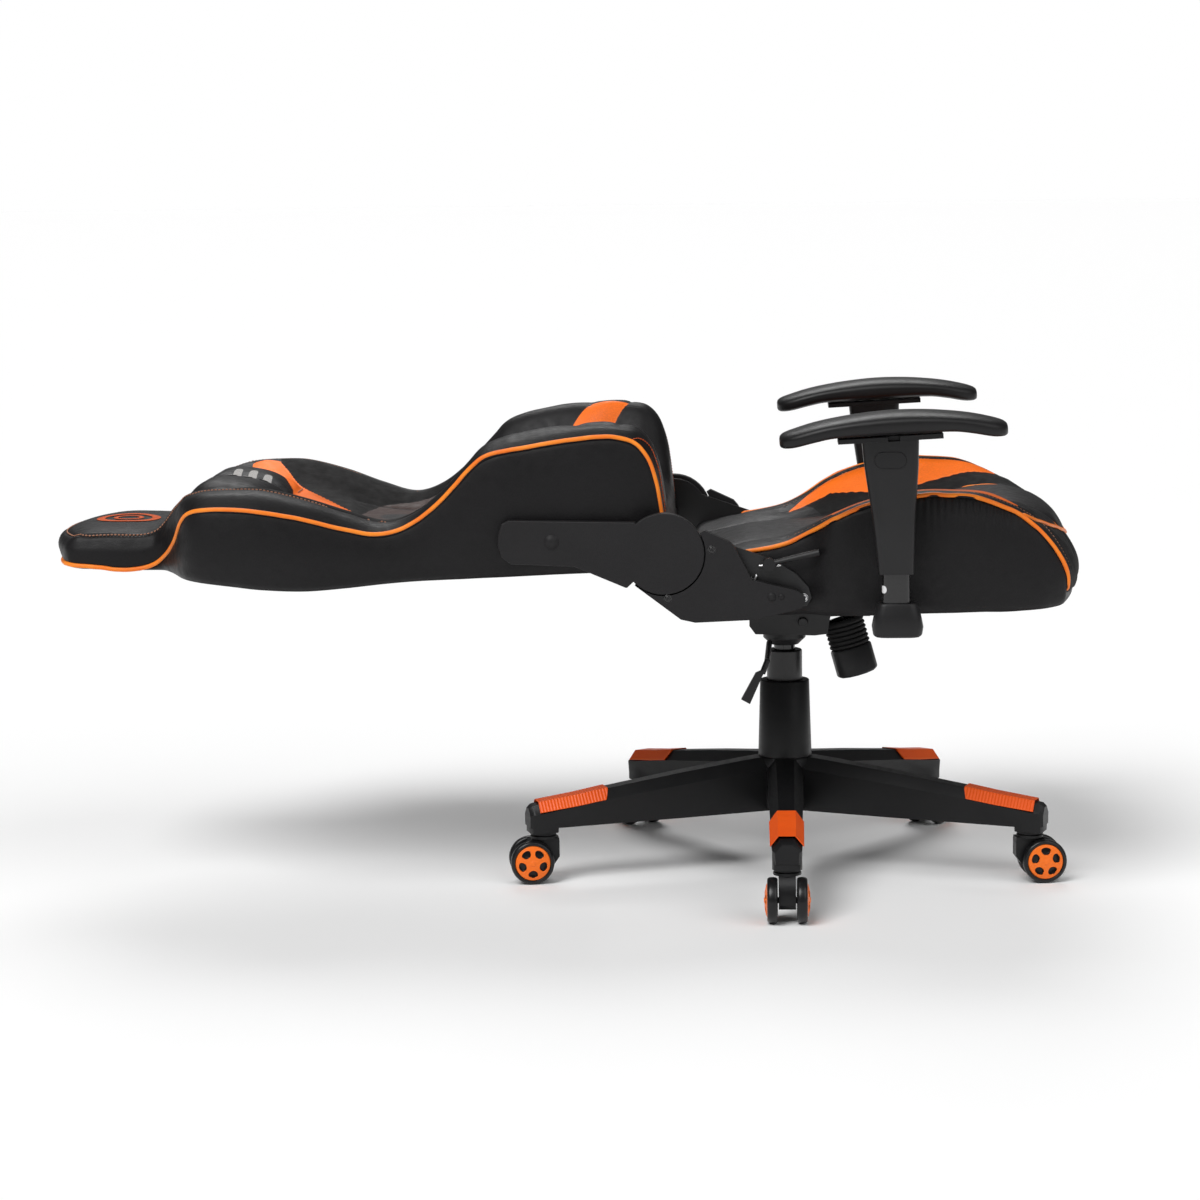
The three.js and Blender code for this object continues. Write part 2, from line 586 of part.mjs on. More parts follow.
function armSleeve(side) {
  const y = side * ARM_Y;
  const shell = loft(SLEEVE_LOOPS.map(([z, hx, hy, c]) =>
    roundedLoop(ARM_X - (z - SLEEVE_BOTTOM) * SLEEVE_LEAN, y, z, hx, hy, c)));
  const core = postLoft(y, 420, 582, 0.5);
  const window = slab(racetrack(...BUTTON, 19.5, 10), span(side, [ARM_Y + 8, ARM_Y + 30]));
  const above = onArm(box([-100, 100], [-40, 40], [-7 - GAP, 40]), side);
  return cut(shell, core, window, above);
}

function armButton(side) {
  return slab(racetrack(...BUTTON, 19.5 - GAP, 10 - GAP), span(side, [ARM_Y + 13.6, ARM_Y + 18.6]));
}

function armPlate(side) {
  const plate = box([-68, 60], [-24, 24], [-7, -1]);
  const slot = box([-7, 7], side > 0 ? [16, 30] : [-30, -16], [-10, 5]);
  return onArm(cut(plate, slot), side);
}

// x from the middle, half width, underside z, top z
const PAD_STATIONS = [[-139, 22, -5, 3], [-136, 30, -8, 6.5], [-126, 38, -8.5, 11],
  [-98, 43, -4, 18.5], [-84, 44, -0.6, 21.5], [-50, 45, -0.6, 26], [0, 45, -0.6, 29],
  [50, 45, -0.6, 26.5], [84, 44, -0.6, 22], [98, 43, -4, 19], [126, 38, -9, 11.5],
  [136, 30, -8, 7], [139, 22, -5, 3]];

function armPad(side) {
  const loops = PAD_STATIONS.map(([x, w, low, high]) => {
    const t = high - low;
    const half = [[0, high], [0.6 * w, high - 0.03 * t], [0.86 * w, high - 0.16 * t],
      [w, low + 0.5 * t], [0.9 * w, low + 0.1 * t], [0.7 * w, low]];
    const loop = half.map(([y, z]) => [x, y, z]);
    const mirrored = loop.slice(1).reverse().map(([px, y, z]) => [px, -y, z]);
    return [...loop, [x, 0, low], ...mirrored];
  });
  return onArm(loft(loops), side);
}

function makeArm(side, tag) {
  add(`arm_post_${tag}`, armPost(side), blackSteel());
  add(`arm_cup_${tag}`, armCup(side), softPlastic());
  add(`arm_sleeve_${tag}`, armSleeve(side), softPlastic());
  add(`arm_button_${tag}`, armButton(side), softPlastic());
  add(`arm_plate_${tag}`, armPlate(side), softPlastic());
  add(`arm_pad_${tag}`, armPad(side), leather());
}

// ---------- the whole chair ----------
makeBase();
makeCasters();
makeGasLift();
makeMechanism();
add('seat_frame', seatFrame(0), blackSteel());
add('seat_cushion', seatCushion(), leather());
add('back_frame', backFrame(0), blackSteel());
add('back_cushion', backCushion(), leather());
makeRecline();
makeArm(1, 'left');
makeArm(-1, 'right');

export default chair;
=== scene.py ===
"""The gaming chair's visible model: upholstery, piping, wheels, trim, materials, floor, lights and camera."""
import math

import bpy
import numpy as np
from mathutils import Matrix, Vector
from mathutils.bvhtree import BVHTree
from mathutils.kdtree import KDTree


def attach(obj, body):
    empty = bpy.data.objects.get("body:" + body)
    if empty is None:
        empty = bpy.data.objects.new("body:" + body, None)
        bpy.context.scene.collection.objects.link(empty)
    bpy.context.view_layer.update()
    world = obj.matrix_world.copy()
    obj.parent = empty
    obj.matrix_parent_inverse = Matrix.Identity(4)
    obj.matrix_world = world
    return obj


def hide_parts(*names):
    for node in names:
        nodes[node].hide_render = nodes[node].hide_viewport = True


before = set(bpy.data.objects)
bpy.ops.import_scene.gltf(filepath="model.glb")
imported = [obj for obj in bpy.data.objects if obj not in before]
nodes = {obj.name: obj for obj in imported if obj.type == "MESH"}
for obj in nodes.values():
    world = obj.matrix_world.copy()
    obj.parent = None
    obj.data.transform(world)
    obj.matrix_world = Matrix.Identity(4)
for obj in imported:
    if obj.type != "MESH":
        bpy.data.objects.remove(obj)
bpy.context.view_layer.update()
MM = 0.001
SIDES = (("left", 1), ("right", -1))        # each side's name, and the sign of its y


# ---------- curves and meshes ----------
def spline(pairs):
    """A smooth function through (t, value) pairs in rising order of t."""
    ts, vs = np.array(pairs, float).T
    slopes = np.empty(len(ts))
    slopes[1:-1] = (vs[2:] - vs[:-2]) / (ts[2:] - ts[:-2])
    slopes[0] = (vs[1] - vs[0]) / (ts[1] - ts[0])
    slopes[-1] = (vs[-1] - vs[-2]) / (ts[-1] - ts[-2])

    def at(t):
        t = np.clip(np.asarray(t, float), ts[0], ts[-1])
        k = np.clip(np.searchsorted(ts, t, side="right") - 1, 0, len(ts) - 2)
        h = ts[k + 1] - ts[k]
        u = (t - ts[k]) / h
        return (vs[k] * (1 + 2 * u) * (1 - u) ** 2 + vs[k + 1] * u * u * (3 - 2 * u)
                + slopes[k] * h * u * (1 - u) ** 2 - slopes[k + 1] * h * u * u * (1 - u))

    return at


def even(points, step):
    """The polyline's points again, evenly spaced about step apart along it."""
    points = np.asarray(points, float)
    run = np.concatenate([[0], np.cumsum(np.linalg.norm(np.diff(points, axis=0), axis=1))])
    keep = np.concatenate([[True], np.diff(run) > 1e-9])
    points, run = points[keep], run[keep]
    at = np.linspace(0, run[-1], max(2, int(round(run[-1] / step)) + 1))
    return np.stack([np.interp(at, run, points[:, k]) for k in range(3)], axis=1)


def rounded(points, passes=2):
    """The polyline smoothed a little, with its ends kept."""
    points = np.array(points, float)
    for _ in range(passes):
        points[1:-1] = (points[:-2] + 2 * points[1:-1] + points[2:]) / 4
    return points


def mesh_object(name, verts, faces, material, smooth=True):
    """A new mesh object in the scene."""
    mesh = bpy.data.meshes.new(name)
    mesh.from_pydata([tuple(v) for v in verts], [], [tuple(f) for f in faces])
    mesh.update()
    if smooth:
        mesh.polygons.foreach_set("use_smooth", [True] * len(mesh.polygons))
    obj = bpy.data.objects.new(name, mesh)
    bpy.context.scene.collection.objects.link(obj)
    obj.data.materials.append(material)
    return obj


def tube_mesh(points, radius, sides=8, squash=1.0, taper=1.0):
    """Vertices and faces of a round bar along points. taper narrows its ends, and squash flattens it."""
    points = np.asarray(points, float)
    n = len(points)
    tangents = np.gradient(points, axis=0)
    tangents /= np.linalg.norm(tangents, axis=1)[:, None] + 1e-12
    side = np.cross(tangents[0], [0.1, 0.2, 1.0])       # no bar here starts along this direction
    side /= np.linalg.norm(side)
    verts, faces = [], []
    for i in range(n):
        side = side - tangents[i] * (side @ tangents[i])
        side /= np.linalg.norm(side)
        other = np.cross(tangents[i], side)
        r = radius * (taper if i in (0, n - 1) else 1.0)
        for k in range(sides):
            a = 2 * math.pi * k / sides
            verts.append(points[i] + side * math.cos(a) * r + other * math.sin(a) * r * squash)
    for i in range(n - 1):
        for k in range(sides):
            j = (k + 1) % sides
            faces.append((i * sides + k, i * sides + j, (i + 1) * sides + j, (i + 1) * sides + k))
    faces.append(tuple(range(sides - 1, -1, -1)))
    faces.append(tuple((n - 1) * sides + k for k in range(sides)))
    return verts, faces


def merged(parts):
    """Several (verts, faces) as one."""
    verts, faces = [], []
    for v, f in parts:
        base = len(verts)
        verts.extend(v)
        faces.extend(tuple(i + base for i in face) for face in f)
    return verts, faces


def lathe_mesh(profile, sides):
    """(radius, height) points turned about Z. A radius of 0 closes on the axis."""
    verts, rings, faces = [], [], []
    for r, h in profile:
        if r < 1e-9:
            rings.append([len(verts)] * sides)
            verts.append((0, 0, h))
        else:
            rings.append(list(range(len(verts), len(verts) + sides)))
            for k in range(sides):
                a = 2 * math.pi * k / sides
                verts.append((r * math.cos(a), r * math.sin(a), h))
    for low, high in zip(rings, rings[1:]):
        for k in range(sides):
            j = (k + 1) % sides
            face = []
            for i in (low[k], low[j], high[j], high[k]):
                if i not in face:
                    face.append(i)
            if len(face) > 2:
                faces.append(tuple(face))
    return verts, faces


def placed(part, matrix):
    """A (verts, faces) moved by a matrix."""
    verts, faces = part
    return [tuple(matrix @ Vector(v)) for v in verts], faces


# ---------- materials ----------
class Nodes:
    """A short way to add and join a material's nodes."""

    def __init__(self, material):
        self.material = material
        self.tree = material.node_tree
        self.shader = self.tree.nodes["Principled BSDF"]
        self.place = self.add("ShaderNodeTexCoord").outputs["Object"]

    @classmethod
    def named(cls, name):
        """The nodes of a new material."""
        material = bpy.data.materials.new(name)
        material.use_nodes = True
        return cls(material)

    def feed(self, socket, value):
        """A socket takes a plain value, or a link from another node."""
        if isinstance(value, bpy.types.NodeSocket):
            self.tree.links.new(value, socket)
        else:
            socket.default_value = value

    def add(self, kind, inputs=None, **settings):
        node = self.tree.nodes.new(kind)
        for key, value in settings.items():
            setattr(node, key, value)
        for key, value in (inputs or {}).items():
            self.feed(node.inputs[key], value)
        return node

    def stretch(self, scale):
        return self.add("ShaderNodeMapping", {"Vector": self.place, "Scale": scale}).outputs["Vector"]

    def noise(self, scale, detail=3.0, rough=0.55, vector=None):
        return self.add("ShaderNodeTexNoise", {"Vector": vector or self.place, "Scale": scale,
                                               "Detail": detail, "Roughness": rough}).outputs["Fac"]

    def cells(self, scale):
        return self.add("ShaderNodeTexVoronoi", {"Vector": self.place, "Scale": scale}).outputs["Distance"]

    def wave(self, pitch, inputs=None, **settings):
        """Bands or rings a pitch apart, in metres."""
        inputs = {"Vector": self.place, "Scale": 2 * math.pi / (20 * pitch), **(inputs or {})}
        return self.add("ShaderNodeTexWave", inputs, **settings).outputs["Fac"]

    def math(self, operation, a, b=0.0, clamp=False):
        return self.add("ShaderNodeMath", {0: a, 1: b}, operation=operation, use_clamp=clamp).outputs[0]

    def span(self, value, low, high, to_low, to_high):
        return self.add("ShaderNodeMapRange", {"Value": value, "From Min": low, "From Max": high,
                                               "To Min": to_low, "To Max": to_high}).outputs[0]

    def mix(self, factor, a, b):
        node = self.add("ShaderNodeMix", data_type="RGBA")
        for key, value in ((0, factor), (6, a), (7, b)):
            self.feed(node.inputs[key], value)
        return node.outputs[2]

    def attribute(self, name):
        return self.add("ShaderNodeAttribute", attribute_name=name).outputs["Fac"]

    def bump(self, height, strength, distance, normal=None):
        inputs = {"Height": height, "Strength": strength, "Distance": distance}
        if normal is not None:
            inputs["Normal"] = normal
        return self.add("ShaderNodeBump", inputs).outputs["Normal"]

    def now(self, key):
        """What feeds one of the shader's sockets so far."""
        return self.shader.inputs[key].links[0].from_socket

    def set(self, **inputs):
        for key, value in inputs.items():
            self.feed(self.shader.inputs[key.replace("_", " ")], value)
        return self.material


def rgb(r, g, b):
    return (r, g, b, 1.0)


LEATHER = rgb(0.0060, 0.0056, 0.0062)
FABRIC = rgb(0.0050, 0.0045, 0.0047)
ORANGE = rgb(0.95, 0.170, 0.010)
BROWN = rgb(0.040, 0.020, 0.016)


def leather(name, colour=LEATHER, patches=(), rough=(0.42, 0.56), grain=620.0):
    """Coated leather: pebbled grain, faint creases, uneven polish. patches are (attribute, colour,
    roughness lift): where the attribute is above 0 the panel has that colour."""
    n = Nodes.named(name)
    warp = n.noise(90.0, 3.0)
    pebble = n.cells(grain)
    fine = n.noise(1400.0, 2.0)
    crease = n.noise(26.0, 5.0, 0.62, n.stretch((1.0, 2.6, 1.0)))
    cloud = n.noise(7.0, 4.0)
    tone = n.span(cloud, 0.3, 0.7, 0.80, 1.25)
    spots = n.span(pebble, 0.0, 0.9, 0.86, 1.10)
    base = colour
    roughness = n.span(warp, 0.3, 0.7, rough[0], rough[1])
    for key, patch_colour, lift in patches:
        inside = n.span(n.attribute(key), -0.0004, 0.0004, 0.0, 1.0)
        base = n.mix(inside, base, patch_colour)
        roughness = n.add("ShaderNodeMath", {0: inside, 1: lift, 2: roughness},
                          operation="MULTIPLY_ADD").outputs[0]
    shade = n.math("MULTIPLY", tone, spots)
    worn = n.add("ShaderNodeHueSaturation", {"Color": base, "Value": shade}).outputs["Color"]
    normal = n.bump(crease, 0.22, 0.0030)
    normal = n.bump(pebble, 0.30, 0.00045, normal)
    normal = n.bump(fine, 0.12, 0.0002, normal)
    return n.set(Base_Color=worn, Roughness=roughness, Normal=normal, Specular_IOR_Level=0.24)


def piping_leather():
    """The thin orange leather that covers the cords along the cushions' edges."""
    n = Nodes.named("piping_orange")
    wrinkle = n.noise(420.0, 3.0)
    cloud = n.noise(30.0, 3.0)
    colour = n.mix(n.span(cloud, 0.35, 0.65, 0.0, 1.0), rgb(0.90, 0.180, 0.014), rgb(0.97, 0.270, 0.022))
    return n.set(Base_Color=colour, Roughness=n.span(wrinkle, 0.3, 0.7, 0.34, 0.48),
                 Normal=n.bump(wrinkle, 0.25, 0.0006), Specular_IOR_Level=0.28)


def thread(name, colour):
    """Twisted sewing thread."""
    n = Nodes.named(name)
    twist = n.add("ShaderNodeTexWave", {"Vector": n.place, "Scale": 900.0, "Distortion": 2.0},
                  wave_type="BANDS", bands_direction="DIAGONAL").outputs["Fac"]
    shade = n.mix(twist, tuple(c * 0.55 for c in colour[:3]) + (1.0,), colour)
    return n.set(Base_Color=shade, Roughness=n.span(n.noise(300.0), 0.3, 0.7, 0.6, 0.85),
                 Normal=n.bump(twist, 0.6, 0.0003))


def plastic(name, colour, rough, grain, depth, coat=0.0, wear=0.35):
    """Moulded plastic with a fine spark-eroded texture, and edges a little polished."""
    n = Nodes.named(name)
    texture = n.noise(grain, 3.0, 0.6)
    blotch = n.noise(16.0, 4.0)
    scuff = n.noise(60.0, 6.0, 0.7, n.stretch((1.0, 0.25, 3.0)))
    edge = n.add("ShaderNodeNewGeometry").outputs["Pointiness"]
    lit = n.span(edge, 0.50, 0.58, 0.0, wear)
    light = tuple(min(1.0, c * 1.5 + 0.003) for c in colour[:3]) + (1.0,)
    base = n.mix(lit, n.mix(n.span(blotch, 0.3, 0.7, 0.0, 0.30), colour, light), light)
    roughness = n.math("SUBTRACT", n.span(scuff, 0.25, 0.75, rough[1], rough[0]),
                       n.math("MULTIPLY", lit, 0.15), clamp=True)
    normal = n.bump(texture, 0.35, depth)
    normal = n.bump(scuff, 0.05, 0.0004, normal)
    return n.set(Base_Color=base, Roughness=roughness, Normal=normal, Coat_Weight=coat,
                 Coat_Roughness=0.12, Specular_IOR_Level=0.30)


def steel(name, colour, rough, metallic=0.0, coat=0.0):
    """Painted or plated steel: orange peel in the paint, dust and thin scratches."""
    n = Nodes.named(name)
    peel = n.noise(260.0, 2.0)
    scratch = n.noise(120.0, 4.0, 0.7, n.stretch((1.0, 1.0, 14.0)))
    dust = n.noise(22.0, 5.0)
    edge = n.span(n.add("ShaderNodeNewGeometry").outputs["Pointiness"], 0.50, 0.60, 0.0, 0.5)
    pale = tuple(min(1.0, c * 1.9 + 0.008) for c in colour[:3]) + (1.0,)
    base = n.mix(n.math("MAXIMUM", edge, n.span(dust, 0.45, 0.75, 0.0, 0.45)), colour, pale)
    normal = n.bump(peel, 0.25, 0.00012)
    normal = n.bump(scratch, 0.08, 0.0001, normal)
    return n.set(Base_Color=base, Roughness=n.span(scratch, 0.3, 0.7, rough[0], rough[1]),
                 Metallic=metallic, Normal=normal, Coat_Weight=coat, Coat_Roughness=0.08)


def add_gathers(material, pitch):
    """Puckers under the piping, where the attribute gather is above 0."""
    n = Nodes(material)
    wave = n.wave(pitch, {"Distortion": 1.2, "Detail": 1.0, "Detail Scale": 30.0},
                  wave_type="BANDS", bands_direction="X")
    height = n.math("MULTIPLY", wave, n.attribute("gather"))
    n.set(Normal=n.bump(height, 1.0, 0.0030, n.now("Normal")))


def add_ribs(material, pitch, depth):
    """Moulded ribs across each leg: rings about the column."""
    n = Nodes(material)
    wave = n.wave(pitch, wave_type="RINGS", rings_direction="Z")
    n.set(Normal=n.bump(wave, 0.55, depth, n.now("Normal")))


def add_pin_end(material, x, z, radius, squash=0.7):
    """The bright end of the spring pin in the arm posts, flush with the tube and a little taller than wide."""
    n = Nodes(material)
    flat = n.add("ShaderNodeMapping", {"Vector": n.place, "Location": (-x, 0, -z * squash),
                                       "Scale": (1, 0, squash)}).outputs["Vector"]
    away = n.add("ShaderNodeVectorMath", {0: flat}, operation="LENGTH").outputs["Value"]
    spot = n.span(away, radius * 0.85, radius, 1.0, 0.0)
    n.set(Base_Color=n.mix(spot, n.now("Base Color"), rgb(0.75, 0.75, 0.76)))


back_leather = leather("back_leather", patches=(("patch_orange", ORANGE, 0.0), ("patch_fabric", FABRIC, 0.25),
                                                ("patch_brown", BROWN, 0.05)))
seat_leather = leather("seat_leather", patches=(("patch_orange", ORANGE, 0.0), ("patch_fabric", FABRIC, 0.25)))
add_gathers(seat_leather, 0.0085)
lining = leather("welt_black", rgb(0.008, 0.0078, 0.008), rough=(0.5, 0.7), grain=300.0)
piping = piping_leather()
thread_brown = thread("thread_brown", rgb(0.55, 0.250, 0.150))
thread_white = thread("thread_white", rgb(0.62, 0.60, 0.58))
thread_orange = thread("thread_orange", rgb(0.90, 0.130, 0.015))
nylon = plastic("nylon_base", rgb(0.0060, 0.0060, 0.0066), (0.34, 0.48), 900.0, 0.00022)

cap_plastic = plastic("cap_orange", rgb(0.92, 0.105, 0.010), (0.30, 0.44), 500.0, 0.00018, wear=0.05)
add_ribs(cap_plastic, 0.0042, 0.0010)
cover_plastic = plastic("cover_textured", rgb(0.0085, 0.0080, 0.0088), (0.48, 0.62), 620.0, 0.00050)
sleeve_plastic = plastic("sleeve_plastic", rgb(0.0090, 0.0088, 0.0094), (0.36, 0.50), 1000.0, 0.00025)
knob_plastic = plastic("knob_plastic", rgb(0.0150, 0.0150, 0.0160), (0.42, 0.58), 800.0, 0.00030)
rubber_bellows = plastic("bellows_black", rgb(0.0050, 0.0050, 0.0052), (0.55, 0.75), 500.0, 0.00030)
pad_skin = plastic("pad_skin", rgb(0.0060, 0.0056, 0.0060), (0.34, 0.48), 1300.0, 0.00030, wear=0.15)
tyre_skin = plastic("tyre_black", rgb(0.0060, 0.0060, 0.0066), (0.28, 0.42), 700.0, 0.00020, coat=0.15)
rim_plastic = plastic("rim_orange", rgb(0.94, 0.170, 0.014), (0.30, 0.42), 600.0, 0.00015, wear=0.05)
lift_paint = steel("lift_paint", rgb(0.0085, 0.0080, 0.0084), (0.30, 0.44))
gloss_paint = steel("gloss_paint", rgb(0.0050, 0.0046, 0.0050), (0.16, 0.26), coat=0.15)
post_paint = steel("post_paint", rgb(0.0050, 0.0046, 0.0050), (0.16, 0.26), coat=0.15)

add_pin_end(post_paint, 0.120, 0.408, 0.0036)
mech_paint = steel("mech_paint", rgb(0.0060, 0.0060, 0.0064), (0.36, 0.54))
bright_steel = steel("bright_steel", rgb(0.60, 0.60, 0.61), (0.20, 0.34), metallic=1.0)


# ---------- the CAD pieces that stay ----------
def dress(name, material, bevel=1.0, angle=36.0):
    """A CAD node keeps its shape: its edges are rounded and its material set."""
    obj = nodes[name]
    bpy.context.view_layer.objects.active = obj
    obj.select_set(True)
    bpy.ops.mesh.customdata_custom_splitnormals_clear()
    obj.select_set(False)
    obj.data.materials.clear()
    obj.data.materials.append(material)
    obj.data.polygons.foreach_set("use_smooth", [True] * len(obj.data.polygons))
    weld = obj.modifiers.new("weld", "WELD")
    weld.merge_threshold = 0.02 * MM
    edge = obj.modifiers.new("edges", "BEVEL")
    edge.width = bevel * MM
    edge.segments = 2 if bevel < 1.6 else 3
    edge.limit_method = "ANGLE"
    edge.angle_limit = math.radians(angle)
    edge.harden_normals = True
    edge.use_clamp_overlap = True
    return obj


dress("base_star", nylon, 1.8)
dress("column_shroud", nylon, 0.8)
for i in range(1, 6):
    dress(f"leg_cap_{i}", cap_plastic, 0.9)
    dress(f"caster_{i}_hood", nylon, 1.2)
dress("gas_cylinder", lift_paint, 0.6)
dress("gas_piston", gloss_paint, 0.6)
for name in ("rocker_block", "mech_housing", "seat_frame", "back_frame", "tilt_pin", "cross_rod",
             "tension_bolt", "tension_spring"):
    dress(name, mech_paint, 0.8)
dress("spring_sleeve", rubber_bellows, 0.7)
dress("height_lever", sleeve_plastic, 1.0)
dress("recline_lever", sleeve_plastic, 1.0)
dress("tension_knob", knob_plastic, 1.4)
for tag, _ in SIDES:
    for name in ("seat_bracket", "back_bracket"):
        dress(f"{name}_{tag}", mech_paint, 0.7)
    for name in ("seat_cover", "back_cover"):
        dress(f"{name}_{tag}", cover_plastic, 2.6)
    dress(f"arm_post_{tag}", post_paint, 0.8)
    dress(f"arm_cup_{tag}", sleeve_plastic, 1.5)
    dress(f"arm_sleeve_{tag}", sleeve_plastic, 1.3)
    dress(f"arm_button_{tag}", sleeve_plastic, 0.8)
    dress(f"arm_plate_{tag}", sleeve_plastic, 0.8)


# ---------- upholstery ----------
# Each row is one section of a cushion, in millimetres:
# centre x, z; piping x, z; half width; crest's share of the half width, crest z; side foot x, z
BACK_ROWS = [
    (-947, 425, -925, 427, 139, 0.92, 426, -922, 422),
    (-951, 436, -922, 426, 142, 0.92, 435, -918, 421.5),
    (-953, 446, -918, 425, 145, 0.92, 446, -913, 421),
    (-951, 454, -913, 424.5, 147, 0.92, 453, -908, 420.5),
    (-944, 460, -907, 424, 148, 0.93, 459, -902, 420),
    (-931, 463, -899, 424, 149, 0.93, 462, -895, 420),
    (-914, 464.5, -889, 423, 150, 0.93, 463.5, -887, 419.5),
    (-893, 465, -874, 422, 151, 0.93, 464, -874, 419),
    (-862, 465, -853, 420, 153, 0.93, 463.5, -853, 419),
    (-825, 464, -825, 421, 154, 0.93, 463, -825, 418.5),
    (-806, 468, -806, 427, 156, 0.92, 467, -806, 419),
    (-793, 480, -793, 437, 166, 0.9, 481, -793, 420),
    (-781, 495, -781, 449, 186, 0.87, 496, -781, 420.5),
    (-770, 502, -770, 464, 209, 0.85, 507, -770, 420.5),
    (-760, 507, -760, 484, 232, 0.83, 516, -760, 420),
    (-748, 511, -748, 500, 250, 0.81, 521, -748, 419),
    (-728, 512, -728, 506, 262, 0.8, 526, -728, 417),
    (-690, 507, -690, 507, 268, 0.8, 528, -690, 413),
    (-655, 497, -655, 504, 269, 0.8, 526.5, -655, 409),
    (-602, 482, -602, 494, 262, 0.8, 513, -602, 406),
    (-553, 470, -553, 480, 250, 0.8, 496, -553, 408),
    (-505, 464, -505, 472, 241, 0.81, 483, -505, 412),
    (-466, 466, -466, 485, 239, 0.81, 495, -466, 415),
    (-428, 472, -428, 515, 241, 0.82, 525, -428, 417),
    (-403, 478, -403, 542, 242, 0.82, 552, -403, 418),
    (-380, 484, -380, 565, 242, 0.82, 574, -380, 419),
    (-352, 491, -352, 575, 242, 0.82, 586, -352, 420),
    (-327, 496, -327, 579, 241, 0.82, 592, -327, 421),
    (-278, 504, -278, 587, 240, 0.82, 601, -278, 423),
    (-234, 508, -234, 592, 237, 0.82, 606, -234, 424),
    (-203, 510, -205, 590.5, 235, 0.82, 604, -205, 424),
    (-180, 509, -184, 582, 233, 0.82, 596, -184, 425),
    (-162, 505, -170, 563, 231, 0.82, 579, -172, 426),
    (-152, 496, -161, 537, 229, 0.82, 552, -164, 427),
    (-147, 482, -156, 507, 227, 0.82, 517, -159, 428),
    (-144, 465, -152, 478, 226, 0.82, 483, -156, 429),
    (-143, 450, -151, 454, 224, 0.82, 456, -154, 430),
    (-144, 438, -152, 438, 222, 0.82, 439, -153, 431),
]
SEAT_ROWS = [
    (-119, 396, -119, 396, 214, 0.82, 396, -119, 388),
    (-122, 416, -121, 416, 221, 0.82, 416, -119, 379),
    (-119, 429, -117, 431, 225, 0.82, 431, -112, 375),
    (-108, 432, -106, 436, 227, 0.82, 436, -100, 372),
    (-50, 444, -50, 446, 233, 0.82, 447, -50, 370),
    (0, 448, 0, 456, 234, 0.82, 459, 0, 370),
    (30, 450, 30, 470, 237, 0.84, 472.5, 30, 371),
    (62, 452, 61, 489, 256, 0.85, 490.5, 62, 371),
    (110, 458, 102, 506, 260, 0.86, 508, 110, 372),
    (165, 470, 164, 518, 261, 0.86, 519.5, 165, 374),
    (215, 482, 210, 518, 262, 0.86, 519.5, 212, 375),
    (262, 491, 240, 514.5, 262, 0.86, 516, 245, 376),
    (294, 492, 266, 505, 262, 0.86, 506, 272, 376),
    (318, 487, 291, 493, 260, 0.85, 494, 296, 377),
    (341, 477, 315, 472, 258, 0.82, 475, 316, 378),
    (357, 461, 332, 452, 253, 0.82, 453.5, 328, 378.5),
    (368, 441, 345, 431, 248, 0.82, 431.5, 336, 379),
    (376, 419, 350, 415, 244, 0.82, 415, 342, 380),
    (377, 403, 350, 402, 240, 0.82, 402, 346, 382),
    (374, 394, 348, 394, 237, 0.82, 394, 347, 386),
]
FRONT, WALL, UNDER = 63, 17, 16     # each half section's steps over the front, down the side and underneath
INNER, CREST = FRONT * 2 // 7, FRONT * 5 // 7       # the steps at the middle panel's edge and on the crest
SIDE_BULGE = 2.5                # how far a side stands out, where it is at least FULL_WALL high
FULL_WALL = 60
FOOT_PULL = 8                   # how far a side pulls in at its foot
STEP = 3.6                   # between sections


def half_section(row, corner):
    """Points from the middle of the front, over the crest and the piping and down the side, to the middle
    below. corner says how square the cushion's end is, seen from above."""
    xc, zc, xp, zp, width, share, crest, xf, zf = row
    rise = crest - zc
    fractions = [0, 0.3, 0.5, 0.5 + (share - 0.5) * 0.44, 0.5 + (share - 0.5) * 0.75, share,
                 share + (1 - share) * 0.56, 1]
    heights = [zc, zc, zc + 0.08 * rise, zc + 0.55 * rise, zc + 0.92 * rise, crest,
               zp + 0.65 * (crest - zp), zp]
    front_at = spline(list(zip(np.linspace(0, 1, 8), fractions)))
    front_z = spline(list(zip(np.linspace(0, 1, 8), heights)))
    t = np.linspace(0, 1, FRONT + 1)
    y = front_at(t) * width
    z = front_z(t)
    x = xp + (xc - xp) * (1 - (y / width) ** corner)
    front = np.stack([x, y, z], axis=1)
    wall = zp - zf
    drop = np.linspace(0, 1, WALL + 1)[1:]
    out = SIDE_BULGE * np.sin(math.pi * drop ** 0.8) * min(1.0, wall / FULL_WALL) - FOOT_PULL * drop ** 6
    side = np.stack([xp + (xf - xp) * drop, width + out, zp - wall * drop], axis=1)
    inward = np.linspace(1, 0, UNDER + 1)[1:]
    yu = inward * (width - FOOT_PULL)
    under = np.stack([xf + (xc - xp) * (1 - (yu / width) ** corner), yu, np.full(UNDER, zf)], axis=1)
    return np.concatenate([front, side, under])


def grid_of(rows, step, corner):
    """The cushion's skin as sections by points round the section. The piping is at step FRONT of each section.
    """
    table = np.array(rows, float)
    gap = np.linalg.norm(np.diff(table[:, [0, 1]], axis=0), axis=1)
    gap = np.maximum(gap, 0.6 * np.linalg.norm(np.diff(table[:, [2, 3]], axis=0), axis=1))
    run = np.concatenate([[0], np.cumsum(gap)])
    count = int(round(run[-1] / step)) // 2 * 2 + 1
    at = np.linspace(0, run[-1], count)
    columns = [spline(list(zip(run, table[:, k])))(at) for k in range(table.shape[1])]
    sections = []
    for row in np.stack(columns, axis=1):
        half = half_section(row, corner)
        mirrored = half[-2:0:-1] * [1, -1, 1]
        sections.append(np.concatenate([half, mirrored]))
    return np.array(sections) * MM


